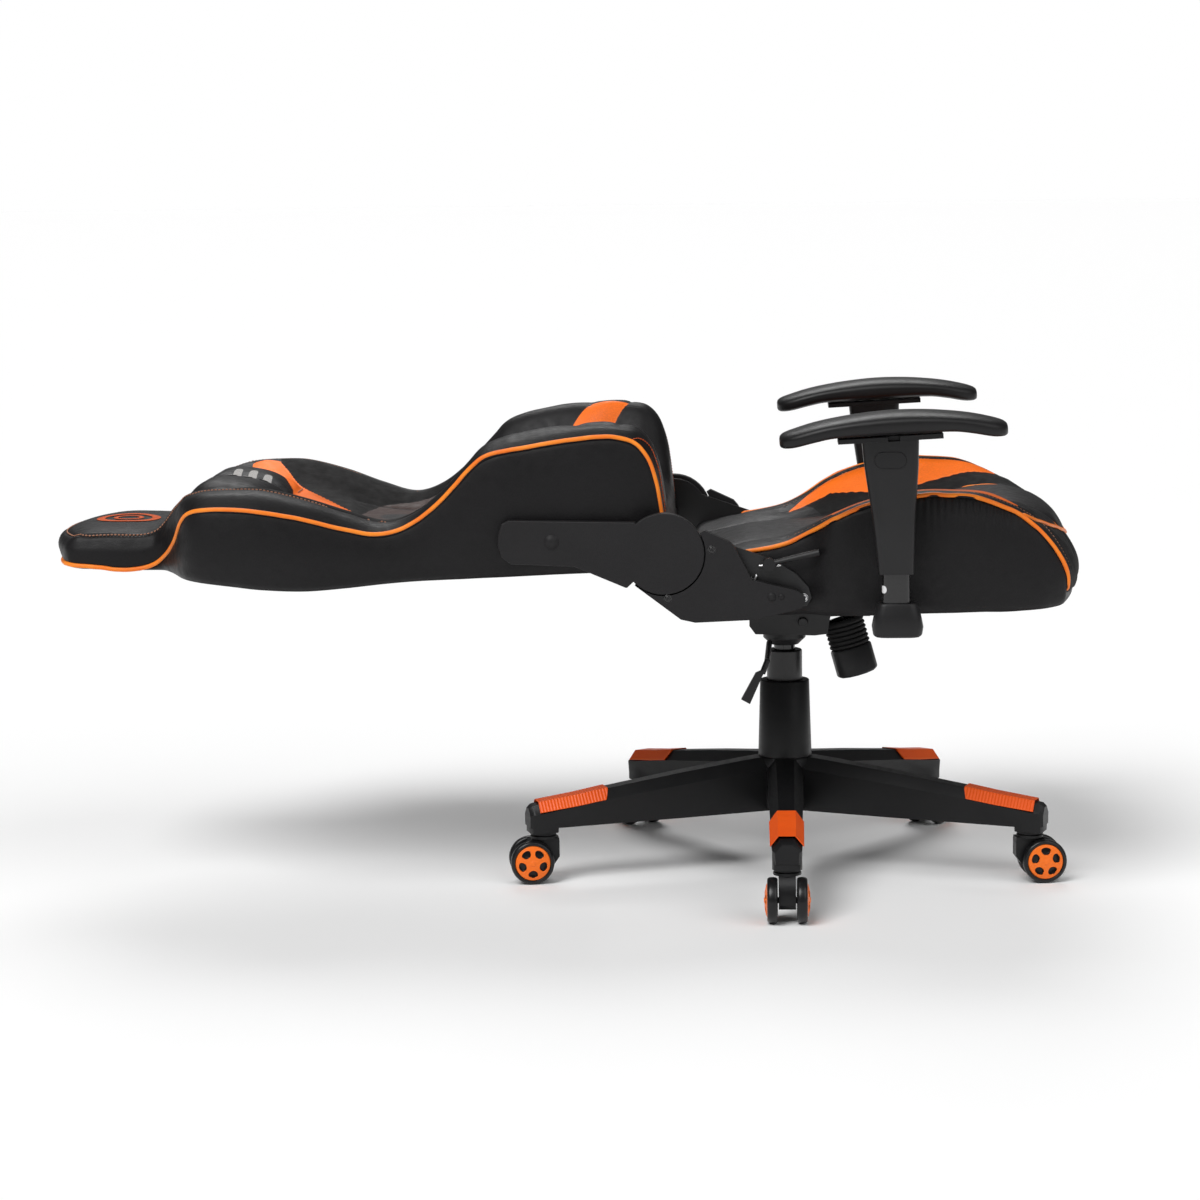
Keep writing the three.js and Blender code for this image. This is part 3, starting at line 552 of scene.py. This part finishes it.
def grid_faces(rows, cols):
    """The faces of a closed tube of points, with its two ends."""
    faces = []
    for i in range(rows - 1):
        for j in range(cols):
            k = (j + 1) % cols
            faces.append((i * cols + j, i * cols + k, (i + 1) * cols + k, (i + 1) * cols + j))
    faces.append(tuple(range(cols - 1, -1, -1)))
    faces.append(tuple((rows - 1) * cols + j for j in range(cols)))
    return faces


def normals_of(grid):
    """The outward direction at each point of a skin."""
    along = np.gradient(grid, axis=0)
    around = (np.roll(grid, -1, axis=1) - np.roll(grid, 1, axis=1)) / 2
    normal = np.cross(around, along)
    size = np.linalg.norm(normal, axis=2)
    thin = size < 1e-12
    normal[~thin] /= size[~thin][:, None]
    centre = grid.mean(axis=(0, 1))
    if np.sum(normal * (grid - centre)) < 0:
        normal = -normal
    return normal


class Skin:
    """A cushion's skin while it is being shaped. middle is a place inside it."""

    def __init__(self, grid, middle):
        self.grid = grid
        self.middle = Vector(middle)
        self.refresh()

    def refresh(self):
        self.normals = normals_of(self.grid)
        rows, cols, _ = self.grid.shape
        self.tree = BVHTree.FromPolygons([tuple(v) for v in self.grid.reshape(-1, 3)],
                                         grid_faces(rows, cols))

    def drop(self, points, lift=0.0):
        """Points on the front face under (x, y) places in millimetres."""
        found = []
        for x, y in points:
            hit, normal, _, _ = self.tree.ray_cast(Vector((x * MM, y * MM, 1.0)), Vector((0, 0, -1)))
            if hit is not None:
                if normal.z < 0:
                    normal = -normal
                found.append(np.array(hit) + np.array(normal) * lift)
        return np.array(found)

    def settle(self, points, lift):
        """Points moved onto the skin again after it was shaped, then lifted off it."""
        out = []
        for p in points:
            place, normal, _, _ = self.tree.find_nearest(Vector(p))
            if (Vector(p) - self.middle).dot(normal) < 0:
                normal = -normal
            out.append(np.array(place) + np.array(normal) * lift)
        return np.array(out)

    def line(self, column):
        """The grid line at one place round the section."""
        return self.grid[:, column].copy()

    def columns(self):
        """Each point's steps round its section, from the middle of the front to either side."""
        rows, cols, _ = self.grid.shape
        return np.tile(np.minimum(np.arange(cols), cols - np.arange(cols)), rows)

    def puff(self, front, side):
        """How far each point may swell: the front, the sides, and hardly at all underneath."""
        cols = self.grid.shape[1]
        puff = np.full(self.grid.shape[:2], front)
        puff[:, FRONT + 1:cols - FRONT] = side
        puff[:, FRONT + WALL:cols - FRONT - WALL] = 0.0005
        return puff

    def shape(self, seams, puff, reach):
        """Grooves along the seams, and panels that swell between them. seams are (points, (depth, width)).
        reach is how far from a seam the swelling is nearly full."""
        marks = [(p, groove) for points, groove in seams for p in even(points, 0.003)]
        tree = KDTree(len(marks))
        for i, (p, _) in enumerate(marks):
            tree.insert(p, i)
        tree.balance()
        offset = np.zeros(self.grid.shape[:2])
        for i, j in np.ndindex(offset.shape):
            _, k, away = tree.find(self.grid[i, j])
            depth, width = marks[k][1]
            swell = puff[i, j] * (1 - math.exp(-((away / reach) ** 1.3)))
            offset[i, j] = swell - depth * math.exp(-((away / width) ** 2))
        self.grid = self.grid + self.normals * offset[:, :, None]
        self.refresh()


def stitch_run(points, pitch=0.0048, length=0.0032, radius=0.0010):
    """Stitches along a line, each a part of its own."""
    fine = 0.0008
    line = even(points, fine)
    each = int(round(length / fine))
    starts = range(0, len(line) - each, max(each + 1, int(round(pitch / fine))))
    return [tube_mesh(line[start:start + each + 1], radius, 5, taper=0.5) for start in starts]


def signed(points, polygon):
    """How far inside a polygon in (x, y) each point is, in metres; below 0 outside."""
    polygon = np.array(polygon, float) * MM
    px, py = points[:, 0], points[:, 1]
    best = np.full(len(points), 1e9)
    inside = np.zeros(len(points), bool)
    for (ax, ay), (bx, by) in zip(polygon, np.roll(polygon, -1, axis=0)):
        dx, dy = bx - ax, by - ay
        t = np.clip(((px - ax) * dx + (py - ay) * dy) / (dx * dx + dy * dy + 1e-18), 0, 1)
        best = np.minimum(best, np.hypot(px - ax - t * dx, py - ay - t * dy))
        crosses = (ay > py) != (by > py)
        with np.errstate(divide="ignore", invalid="ignore"):
            at = ax + (py - ay) * dx / np.where(dy == 0, 1e-18, dy)
        inside ^= crosses & (px < at)
    return np.where(inside, best, -best)


def set_attribute(obj, name, values):
    """A number for each vertex, which a material can read."""
    attribute = obj.data.attributes.new(name, "FLOAT", "POINT")
    attribute.data.foreach_set("value", np.asarray(values, np.float32))


def piece(name, part, material, body):
    """A (verts, faces) as a piece that moves with a body."""
    obj = mesh_object(name, part[0], part[1], material)
    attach(obj, body)
    return obj


# Where the panels of another colour lie, as corners (x, |y|) in millimetres. They are the same on both sides.
BACK_ORANGE = [(-735, 262), (-727, 168), (-704, 140), (-672, 100), (-655, 50), (-648, -1), (-560, -1),
               (-577, 25), (-610, 74), (-654, 127), (-690, 189), (-700, 262)]
BACK_FABRIC = [(-700, 262), (-690, 189), (-654, 127), (-610, 74), (-577, 25), (-560, -1), (-556, 60),
               (-547, 126), (-522, 143), (-470, 160), (-400, 165), (-320, 262)]
BACK_BROWN = [(-560, -1), (-556, 60), (-547, 126), (-522, 143), (-495, 153), (-470, 158), (-435, 150),
              (-415, 100), (-410, -1), (-482, -1), (-490, 26), (-508, 38), (-526, 26), (-534, -1)]
LUMBAR_ORANGE = [(-262, 184), (-250, 262), (-196, 262), (-208, 184), (-285, 100), (-345, 100)]
NECK_PANEL = [(-778, -1), (-778, 96), (-770, 120), (-748, 130), (-690, 132), (-662, 126), (-650, 108),
              (-646, -1)]
SEAT_WEDGE_EDGE = [(28, 157), (64, 177), (113, 163), (185, 159), (225, 168), (266, 184)]
SEAT_ORANGE = [(5, 150)] + SEAT_WEDGE_EDGE + [(290, 205), (290, 262), (78, 262), (58, 206), (26, 172)]
SEAT_FABRIC = SEAT_WEDGE_EDGE + [(300, 200), (318, 150), (250, 118), (60, 118)]
NOSE_EDGE = [(310, 232), (333, 177), (352, 120), (363, 60)]
NOSE_FABRIC = [(288, 262)] + NOSE_EDGE + [(366, -1), (420, -1), (420, 262)]
NOSE_SEAM = [(293, 250)] + NOSE_EDGE + [(366, 0)]
PATCH_FADE = 0.004              # how fast a patch ends past its last column, in metres a column

# Grooves: how deep and how wide, in metres
PIPING_GROOVE = (0.0010, 0.0030)
PANEL_GROOVE = (0.0026, 0.0035)
PATCH_GROOVE = (0.0012, 0.0022)


def both_sides(points):
    """A line and its mirror image."""
    return [points, points * [1, -1, 1]]


def mask(points, polygon):
    """Signed distance into a patch that lies on both sides of the middle."""
    folded = points * [1, 0, 0] + np.abs(points) * [0, 1, 0]
    return signed(folded[:, :2], polygon)


def upholster(name, skin, material, body, node, patches):
    """The finished skin as a piece. patches: attribute -> (polygons, the last front column they reach)."""
    flat = skin.grid.reshape(-1, 3)
    obj = mesh_object(name, flat, grid_faces(*skin.grid.shape[:2]), material)
    column = skin.columns()
    for key, areas in patches.items():
        value = np.full(len(flat), -1.0)
        for polygon, last in areas:
            value = np.maximum(value, np.minimum(mask(flat, polygon), (last - column) * PATCH_FADE))
        set_attribute(obj, key, value)
    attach(obj, body)
    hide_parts(node)
    return obj


def outline(skin, polygon, side, step=6.0, lift=0.0, closed=True):
    """A patch's edge on the skin's front face."""
    corners = [(x, y * side) for x, y in polygon]
    if closed:
        corners.append(corners[0])
    path = even([(x, y, 0) for x, y in corners], step)
    return skin.drop(path[:, :2], lift)


def round_trip(points):
    """Corners from one side over to their mirror images on the other."""
    return list(points) + [(x, -y) for x, y in points[::-1] if y > 0]


def laid(skin, points, lift):
    """A smooth and even line on a shaped skin."""
    return rounded(even(skin.settle(even(points, 0.004), lift), 0.0035), 6)


def edge_piping(prefix, tag, skin, points, lift, body):
    """The piping along a cushion's edge, and the flange that it is sewn in with."""
    cord = tube_mesh(laid(skin, points, lift), 0.0028, 10, taper=0.4)
    piece(f"{prefix}_piping{tag}", cord, piping, body)
    flange = tube_mesh(laid(skin, points, -0.0002), 0.0036, 8, squash=0.6, taper=0.4)
    piece(f"{prefix}_piping_welt{tag}", flange, lining, body)


def welts(name, skin, lines, material, body, step=0.006, lift=0.0004, radius=0.0016, sides=6):
    """Sewn ridges along seams, as one piece."""
    ridges = [tube_mesh(rounded(skin.settle(even(line, step), lift), 3), radius, sides, taper=0.4)
              for line in lines]
    piece(name, merged(ridges), material, body)


# ---------- backrest ----------
HEAD_LIFT, HEAD_EDGE = 0.0135, 0.017        # how far the pad under the neck stands up, and over what width
CREST_TURN = -0.885                         # x where the crest's seam leaves the sides to go round the head
CREST_END = -0.395                          # x where it ends on the lumbar bolsters
TAIL_X, TAIL_TOP = -0.17, 0.470             # the piping ends where the tail drops below TAIL_TOP
PANEL_FROM, PANEL_TO = -0.575, -0.165       # x of the middle panel's ends
RING_MIDDLE, RING_REACH = Vector((-0.80, 0, 0.4600)), 0.4
TAIL_LINE = [(-191, 232), (-182, 222), (-167, 208), (-154, 200), (-146, 196)]

back = Skin(grid_of(BACK_ROWS, STEP, 2.3), (-0.5, 0, 0.45))
rows, cols, _ = back.grid.shape
rise = mask(back.grid.reshape(-1, 3), NECK_PANEL).reshape(rows, cols)
rise = HEAD_LIFT * (1 - np.exp(-(np.maximum(rise, 0) / HEAD_EDGE) ** 1.25))
rise[:, FRONT:cols - FRONT + 1] = 0
back.grid[:, :, 2] += rise
back.refresh()

edge = back.line(FRONT)
in_tail = (edge[:, 0] > TAIL_X) & (edge[:, 2] < TAIL_TOP)
tail_end = int(np.argmax(in_tail))
front_line = back.grid[0, :FRONT + 1]
around_head = np.concatenate([front_line[::-1], (front_line * [1, -1, 1])[1:]])
left_pipe = edge[1:tail_end]
back_pipe = np.concatenate([left_pipe[::-1], around_head, left_pipe * [1, -1, 1]])

crest = back.line(CREST)
crest = crest[int(np.argmax(crest[:, 0] > CREST_TURN)):tail_end]
crest = crest[crest[:, 0] < CREST_END]
ring = []
for angle in np.radians(np.arange(-74, 75, 2.0)):
    away = Vector((-math.cos(angle), math.sin(angle), 0))
    hit = back.tree.ray_cast(RING_MIDDLE + away * RING_REACH, -away)[0]
    if hit is not None and hit.x < CREST_TURN:
        ring.append(np.array(hit))
crest_seam = rounded(even(np.concatenate([(crest * [1, -1, 1])[::-1], np.array(ring), crest]), 0.006), 14)
inner = back.line(INNER)
inner = inner[(inner[:, 0] > PANEL_FROM) & (inner[:, 0] < PANEL_TO)]
neck = back.drop([(-792 + 6 * math.cos(y / 60), y) for y in np.arange(-140, 141, 6.0)])
neck_border = outline(back, round_trip(NECK_PANEL[1:-1]), 1)

seams = [(back_pipe, PIPING_GROOVE), (crest_seam, (0.0022, 0.0030)), (neck, (0.0030, 0.0040)),
         (neck_border, (0.0020, 0.0030))]
seams += [(line, PANEL_GROOVE) for line in both_sides(inner)]
for _, side in SIDES:
    for polygon in (BACK_ORANGE, LUMBAR_ORANGE, BACK_BROWN[:7]):
        edge = outline(back, polygon, side, closed=False)
        seams.append((edge[np.abs(edge[:, 1]) < 0.205], PATCH_GROOVE))
swell = np.clip((-0.160 - back.grid[:, :, 0]) / 0.030, 0.1, 1)      # little where the tail meets the seat
back.shape(seams, back.puff(0.0050, 0.0035) * swell, 0.024)
upholster("backrest_upholstery", back, back_leather, "backrest", "back_cushion",
          {"patch_orange": [(BACK_ORANGE, CREST - 9), (LUMBAR_ORANGE, CREST - 5)],
           "patch_brown": [(BACK_BROWN, CREST)], "patch_fabric": [(BACK_FABRIC, CREST)]})

edge_piping("backrest", "", back, back_pipe, 0.0014, "backrest")
stitches = stitch_run(back.settle(even(crest_seam, 0.004), 0.0014))
for line in (neck, neck_border):
    stitches += stitch_run(back.settle(even(line, 0.004), 0.0012))
piece("backrest_stitching", merged(stitches), thread_brown, "backrest")
stitches = []
for _, side in SIDES:
    line = outline(back, TAIL_LINE, side, 3.0, 0.0008, closed=False)
    stitches += stitch_run(line, 0.0040, 0.0030, 0.0007)
piece("backrest_tail_stitching", merged(stitches), thread_orange, "backrest")
welts("backrest_panel_welts", back, both_sides(inner), lining, "backrest")

# ---------- seat ----------
seat = Skin(grid_of(SEAT_ROWS, STEP, 2), (0.12, 0, 0.42))
rows, cols, _ = seat.grid.shape
seat_line = seat.line(FRONT)
seat_pipe = seat_line[int(np.argmax(seat_line[:, 0] > -0.060)):rows - 1]
inner = seat.line(INNER)
inner = inner[np.argmax(inner[:, 0] > -0.110):rows - 8]
crest = seat.line(CREST)
crest = crest[np.argmax(crest[:, 0] > 0.0):rows - 6]
nose_line = outline(seat, round_trip(NOSE_SEAM), 1, 5.0, closed=False)
seams = [(line, PIPING_GROOVE) for line in both_sides(seat_pipe)]
seams += [(line, PANEL_GROOVE) for line in both_sides(inner)]
seams += [(line, (0.0016, 0.0026)) for line in both_sides(crest)]
seams.append((nose_line, (0.0012, 0.0030)))
seams += [(outline(seat, SEAT_ORANGE[:8], side, closed=False), PATCH_GROOVE) for _, side in SIDES]
swell = np.clip((seat.grid[:, :, 0] + 0.095) / 0.045, 0.05, 1)      # little where the backrest's tail is
seat.shape(seams, seat.puff(0.0055, 0.0040) * swell, 0.026)
seat_piece = upholster("seat_upholstery", seat, seat_leather, "seat", "seat_cushion",
                       {"patch_orange": [(SEAT_ORANGE, CREST - 2)],
                        "patch_fabric": [(SEAT_FABRIC, CREST), (NOSE_FABRIC, FRONT)]})
x_of = seat.grid.reshape(-1, 3)[:, 0]
below = seat.columns() - FRONT
pucker = np.clip((x_of - 0.165) / 0.02, 0, 1) * np.clip((0.300 - x_of) / 0.03, 0, 1)
set_attribute(seat_piece, "gather", pucker * np.exp(-np.maximum(below - 0.5, 0) / 1.6) * (below >= 0))

piece("seat_nose_piping", tube_mesh(laid(seat, nose_line, 0.0008), 0.0025, 10, taper=0.4), piping, "seat")
for (tag, _), line in zip(SIDES, both_sides(seat_pipe)):
    edge_piping("seat", f"_{tag}", seat, line, 0.0017, "seat")
welts("seat_panel_welts", seat, both_sides(inner), lining, "seat")
nose = seat.line(INNER)
nose = nose[(nose[:, 0] > 0.225) & (nose[:, 0] < 0.352)]
welts("seat_nose_welts", seat, both_sides(nose), piping, "seat", 0.005, 0.0012, 0.0019, 8)
stitches = []
for line in both_sides(crest):
    stitches += stitch_run(seat.settle(even(line, 0.004), 0.0008))
piece("seat_stitching", merged(stitches), thread_brown, "seat")

# ---------- arm pads ----------
# Each row is one section of a pad, in millimetres from its middle: place, half width, bottom, top
PAD_ROWS = [(-139, 12, -4, 3), (-138, 22, -6.5, 6), (-133, 31, -8.5, 9.5), (-120, 38.5, -8, 13.5),
            (-98, 43, -3.6, 19), (-75, 44.5, 0.2, 23), (-40, 45, 1.0, 27), (0, 45, 1.0, 29),
            (40, 45, 1.0, 27.5), (75, 44.5, 0.2, 23.5), (98, 43, -3.6, 19.5), (120, 38.5, -8.5, 14),
            (133, 31, -9, 9.5), (138, 22, -7, 6), (139, 12, -4.5, 3)]
PAD_HALF = 139
PAD_TILT = math.radians(3)
PAD_PLACE = (132, 299, 598)


def pad_part(side):
    """An arm pad: rounded above, squarer below, arched along its length."""
    at = np.linspace(-PAD_HALF, PAD_HALF, 75)
    at = PAD_HALF * np.sin(at / PAD_HALF * math.pi / 2)     # closer together towards the ends
    width, low, high = [spline([(r[0], r[k]) for r in PAD_ROWS])(at) for k in (1, 2, 3)]
    verts, count = [], 40
    for x, w, lo, hi in zip(at, width, low, high):
        mid, half = (lo + hi) / 2, (hi - lo) / 2
        for k in range(count):
            a = 2 * math.pi * k / count
            c, sn = math.cos(a), math.sin(a)
            y = w * math.copysign(abs(c) ** (0.62 if sn > 0 else 0.5), c)
            z = mid + half * math.copysign(abs(sn) ** (0.95 if sn > 0 else 0.45), sn)
            verts.append(((PAD_PLACE[0] + x * math.cos(PAD_TILT) - z * math.sin(PAD_TILT)) * MM,
                          (side * PAD_PLACE[1] + y) * MM,
                          (PAD_PLACE[2] + x * math.sin(PAD_TILT) + z * math.cos(PAD_TILT)) * MM))
    return verts, grid_faces(len(at), count)


for tag, side in SIDES:
    pad = piece(f"arm_pad_skin_{tag}", pad_part(side), pad_skin, f"arm_pad_{tag}")
    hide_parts(f"arm_pad_{tag}")


# ---------- caster wheels ----------
STEM_RADIUS, WHEEL_TRAIL, WHEEL_RADIUS = 0.332, 0.016, 0.0285
FIRST_LEG, LEG_STEP = -90, 72
CASTER_HEADINGS = (270, 7.5, 62, 118, 188)      # degrees, the way each caster is turned in the photo
# The tyre's section as (radius, distance out from the caster's middle), in millimetres
TYRE = [(4.6, 12.0), (9, 11.8), (18, 11.8), (25.5, 11.8), (27.3, 12.6), (28.3, 14.4), (28.5, 16.5),
        (28.5, 19.6), (28.2, 22.0), (27.2, 23.9), (25.6, 24.8), (23.9, 24.9), (23.2, 24.3), (23.0, 22.6),
        (22.6, 20.5), (14, 19.5), (4.6, 19.5), (4.6, 12.0)]
RIM_RADIUS, RIM_TOP, RIM_DOME = 22.9, 28.2, 3.6     # the disc, its highest point and how far it falls
HOLES, HOLE_PLACE, HOLE_HALF = 5, 14.0, (4.9, 6.3)  # oval holes: how many, how far out, half sizes
HOLE_DEPTH, LIP_HEIGHT, LIP_WIDTH = 5.0, 0.35, 0.22
HUB_RADIUS, HUB_HEIGHT = 3.6, 0.7


def wheel_matrix(index, side):
    """A wheel's place, with its axle along Z and its outer face up before it is moved."""
    angle = math.radians(FIRST_LEG + LEG_STEP * index)
    place = Matrix.Translation((STEM_RADIUS * math.cos(angle), STEM_RADIUS * math.sin(angle), 0))
    turn = Matrix.Rotation(math.radians(CASTER_HEADINGS[index]), 4, "Z")
    out = Matrix.Rotation(math.radians(-90 if side > 0 else 90), 4, "X")
    return place @ turn @ Matrix.Translation((WHEEL_TRAIL, 0, WHEEL_RADIUS)) @ out


def nearest_hole(x, y):
    """How far a place on the disc is from the nearest hole's middle: below 1 it is inside."""
    best = 9.0
    for h in range(HOLES):
        b = math.radians(90 + 360 / HOLES * h)
        u, v = x * math.cos(b) + y * math.sin(b) - HOLE_PLACE, -x * math.sin(b) + y * math.cos(b)
        best = min(best, math.hypot(u / HOLE_HALF[0], v / (HOLE_HALF[1] + 0.22 * u)))
    return best


def rim_part():
    """A domed disc with five oval holes and a raised hub. Returns the part and which faces lie in a hole."""
    verts, faces, dark = [], [], []
    steps, around = 46, 150
    for i in range(steps + 1):
        r = RIM_RADIUS * i / steps
        for k in range(around):
            a = 2 * math.pi * k / around
            x, y = r * math.cos(a), r * math.sin(a)
            z = RIM_TOP - RIM_DOME * (r / 22.5) ** 2.2
            z += HUB_HEIGHT * max(0.0, min(1.0, (HUB_RADIUS - r) / 0.7)) - 2.0 * max(0.0, (r - 22.0) / 0.9) ** 2
            q = nearest_hole(x, y)
            z -= HOLE_DEPTH * max(0.0, min(1.0, (1 - q) / 0.16))
            if 1.0 < q < 1.0 + LIP_WIDTH:
                z += LIP_HEIGHT * math.sin(math.pi * (q - 1) / LIP_WIDTH)
            verts.append((x * MM, y * MM, z * MM))
    for i in range(steps):
        for k in range(around):
            j = (k + 1) % around
            face = (0, around + k, around + j) if i == 0 else (
                i * around + k, (i + 1) * around + k, (i + 1) * around + j, i * around + j)
            faces.append(face)
            mid = np.mean([verts[v][:2] for v in face], axis=0) / MM
            dark.append(nearest_hole(mid[0], mid[1]) < 0.97)
    return (verts, faces), dark


tyre_part = lathe_mesh([(r * MM, h * MM) for r, h in TYRE], 56)
rim, in_hole = rim_part()
for index in range(5):
    for key, side in (("a", 1), ("b", -1)):
        body = f"caster_{index + 1}_wheel_{key}"
        matrix = wheel_matrix(index, side)
        wheel = piece(f"{body}_tyre", placed(tyre_part, matrix), tyre_skin, body)
        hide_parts(body)
        disc = piece(f"{body}_rim", placed(rim, matrix), rim_plastic, body)
        disc.data.materials.append(tyre_skin)
        disc.data.polygons.foreach_set("material_index", [int(v) for v in in_hole])


# ---------- marks, bolts and clips ----------
RING_X = -868                                   # the middle of the plain rings on the head, in millimetres
RINGS = (("headrest_ring", (42, 50), (31, 37)), ("headrest_ring_inner", (20, 24), (14, 17)))
BARS = ((-724, 42), (-704, 42), (-684, 32))     # the plain bars on the neck pad: x and half length
BAR_HALF = 5.5


def badge(name, skin, inner, outer, material, body):
    """A flat embroidered band between two outlines, laid on a skin."""
    low, high = skin.drop(inner, 0.0009), skin.drop(outer, 0.0009)
    n = len(low)
    verts = [tuple(v) for v in low] + [tuple(v) for v in high]
    faces = [(k, (k + 1) % n, n + (k + 1) % n, n + k) for k in range(n)]
    piece(name, (verts, faces), material, body)


turn = np.linspace(0, 2 * math.pi, 97)[:-1]
for name, outer, inner in RINGS:
    low, high = [[(RING_X + half[0] * math.cos(a), half[1] * math.sin(a)) for a in turn]
                 for half in (inner, outer)]
    badge(name, back, low, high, thread_orange, "backrest")
for k, (x, half) in enumerate(BARS):
    loop = [(x + BAR_HALF * math.cos(a), half * math.copysign(abs(math.sin(a)) ** 0.3, math.sin(a)))
            for a in turn]
    badge(f"neck_bar_{k + 1}", back, [(x, 0.98 * y) for _, y in loop], loop, thread_white, "backrest")


def side_place(node, x, z, side):
    """Where a line along Y from outside first meets a CAD node, in metres."""
    obj = nodes[node]
    back_to = obj.matrix_world.inverted()
    start = back_to @ Vector((x * MM, side * 0.6, z * MM))
    way = (back_to.to_3x3() @ Vector((0, -side, 0))).normalized()
    return obj.matrix_world @ obj.ray_cast(start, way)[1]


CLIP_Y, CLIP_RADIUS = -0.247, 0.0016
# The bright ends of the recline spring's clip: middle x, z and half length x, z, in millimetres
CLIP_ENDS = ((-8, 431, 3.5, 1.0), (-29, 431, 5.0, 0.6), (-38, 415, 3.0, 5.0))
bits = []
for x, z, dx, dz in CLIP_ENDS:
    ends = [((x + k * dx) * MM, CLIP_Y, (z + k * dz) * MM) for k in (-1, 1)]
    bits.append(tube_mesh(even(ends, 0.002), CLIP_RADIUS, 8, taper=0.6))
piece("recline_spring_clip", merged(bits), bright_steel, "seat")

# Turned heads as (radius, height), in millimetres
CAP = [(0, 4.0), (4.0, 3.6), (6.8, 2.4), (8.2, 0.8), (9.0, 0.4), (9.4, -0.4)]
DOME = [(0, 2.6), (2.6, 2.3), (4.4, 1.4), (5.2, 0.3), (5.8, -0.4)]
SMALL = [(0, 1.8), (2.0, 1.6), (3.4, 0.9), (4.0, -0.3)]
SCREW = [(0, -0.05), (1.6, -0.05), (1.8, 0.25), (3.2, 0.3), (3.4, -0.0), (4.4, 0.05), (4.8, 0.35),
         (5.4, 0.3), (5.6, -0.4)]
# name, the node that it stands on, x, z, head, material, body
STUDS = [("back_cover_cap", "back_cover", -290, 464, CAP, cover_plastic, "backrest"),
         ("seat_cover_bolt_a", "seat_cover", -17, 394, DOME, cover_plastic, "seat"),
         ("seat_cover_bolt_b", "seat_cover", -5, 394, SMALL, cover_plastic, "seat"),
         ("seat_cover_screw_a", "seat_cover", -91, 453, SCREW, gloss_paint, "seat"),
         ("seat_cover_screw_b", "seat_cover", -146, 392, SCREW, gloss_paint, "seat"),
         ("seat_bracket_screw", "seat_bracket", 23, 390, SCREW, bright_steel, "seat")]
for tag, side in SIDES:
    for name, node, x, z, head, material, body in STUDS:
        place = Matrix.Translation(side_place(f"{node}_{tag}", x, z, side))
        turned = lathe_mesh([(r * MM, h * MM) for r, h in head], 28)
        piece(f"{name}_{tag}", placed(turned, place @ Matrix.Rotation(math.radians(-90 * side), 4, "X")),
              material, body)

# ---------- floor, light, camera ----------
FLOOR_HALF = 60
paint = Nodes.named("floor_pale")
paint.set(Base_Color=rgb(0.96, 0.96, 0.96), Roughness=paint.span(paint.noise(3.0), 0.3, 0.7, 0.75, 0.85))
corners = [(x * FLOOR_HALF, y * FLOOR_HALF, 0) for x, y in ((-1, -1), (1, -1), (1, 1), (-1, 1))]
floor = mesh_object("floor", corners, [(0, 1, 2, 3)], paint.material, smooth=False)

SKY_LIGHT, SKY_SEEN = 0.10, 1.0         # the sky lights the chair softly, and looks white to the camera
world = bpy.data.worlds.new("studio")
bpy.context.scene.world = world
world.use_nodes = True
sky = world.node_tree
background = sky.nodes["Background"]
background.inputs["Color"].default_value = (1.0, 1.0, 1.0, 1.0)
seen = sky.nodes.new("ShaderNodeLightPath").outputs["Is Camera Ray"]
level = sky.nodes.new("ShaderNodeMapRange")
level.inputs["To Min"].default_value = SKY_LIGHT
level.inputs["To Max"].default_value = SKY_SEEN
sky.links.new(seen, level.inputs["Value"])
sky.links.new(level.outputs[0], background.inputs["Strength"])


def soft_sun(name, toward, strength, spread):
    """A wide, soft sun whose light travels along toward."""
    data = bpy.data.lights.new(name, "SUN")
    data.energy = strength
    data.angle = math.radians(spread)
    light = bpy.data.objects.new(name, data)
    light.rotation_mode = "QUATERNION"
    light.rotation_quaternion = Vector(toward).to_track_quat("-Z", "Y")
    bpy.context.scene.collection.objects.link(light)


soft_sun("key", (0.42, 0.62, -0.90), 2.25, 34)
soft_sun("fill", (-0.70, 0.55, -0.75), 0.85, 50)
soft_sun("top_back", (0.10, -0.80, -0.90), 1.05, 30)

# The camera was fitted to the photo: metres, degrees, millimetres of lens on a 36 mm sensor
CAMERA_PLACE = (-0.0271, -4.4213, 0.9401)
CAMERA_DOWN, CAMERA_LEFT, CAMERA_ROLL = 7.513, 2.80, -0.695
down, left, roll = (math.radians(v) for v in (CAMERA_DOWN, CAMERA_LEFT, CAMERA_ROLL))
forward = Vector((-math.sin(left) * math.cos(down), math.cos(left) * math.cos(down), -math.sin(down)))
right = Vector((math.cos(left), math.sin(left), 0))
up = right.cross(forward)
right_rolled = right * math.cos(roll) + up * math.sin(roll)
up_rolled = up * math.cos(roll) - right * math.sin(roll)
camera_data = bpy.data.cameras.new("camera")
camera_data.lens = 101.24
camera_data.sensor_width = 36.0
camera_data.clip_end = 200.0
camera = bpy.data.objects.new("camera", camera_data)
bpy.context.scene.collection.objects.link(camera)
axes = Matrix((right_rolled, up_rolled, -forward)).transposed().to_4x4()
camera.matrix_world = Matrix.Translation(CAMERA_PLACE) @ axes
bpy.context.scene.camera = camera
bpy.context.scene.view_settings.view_transform = "Standard"
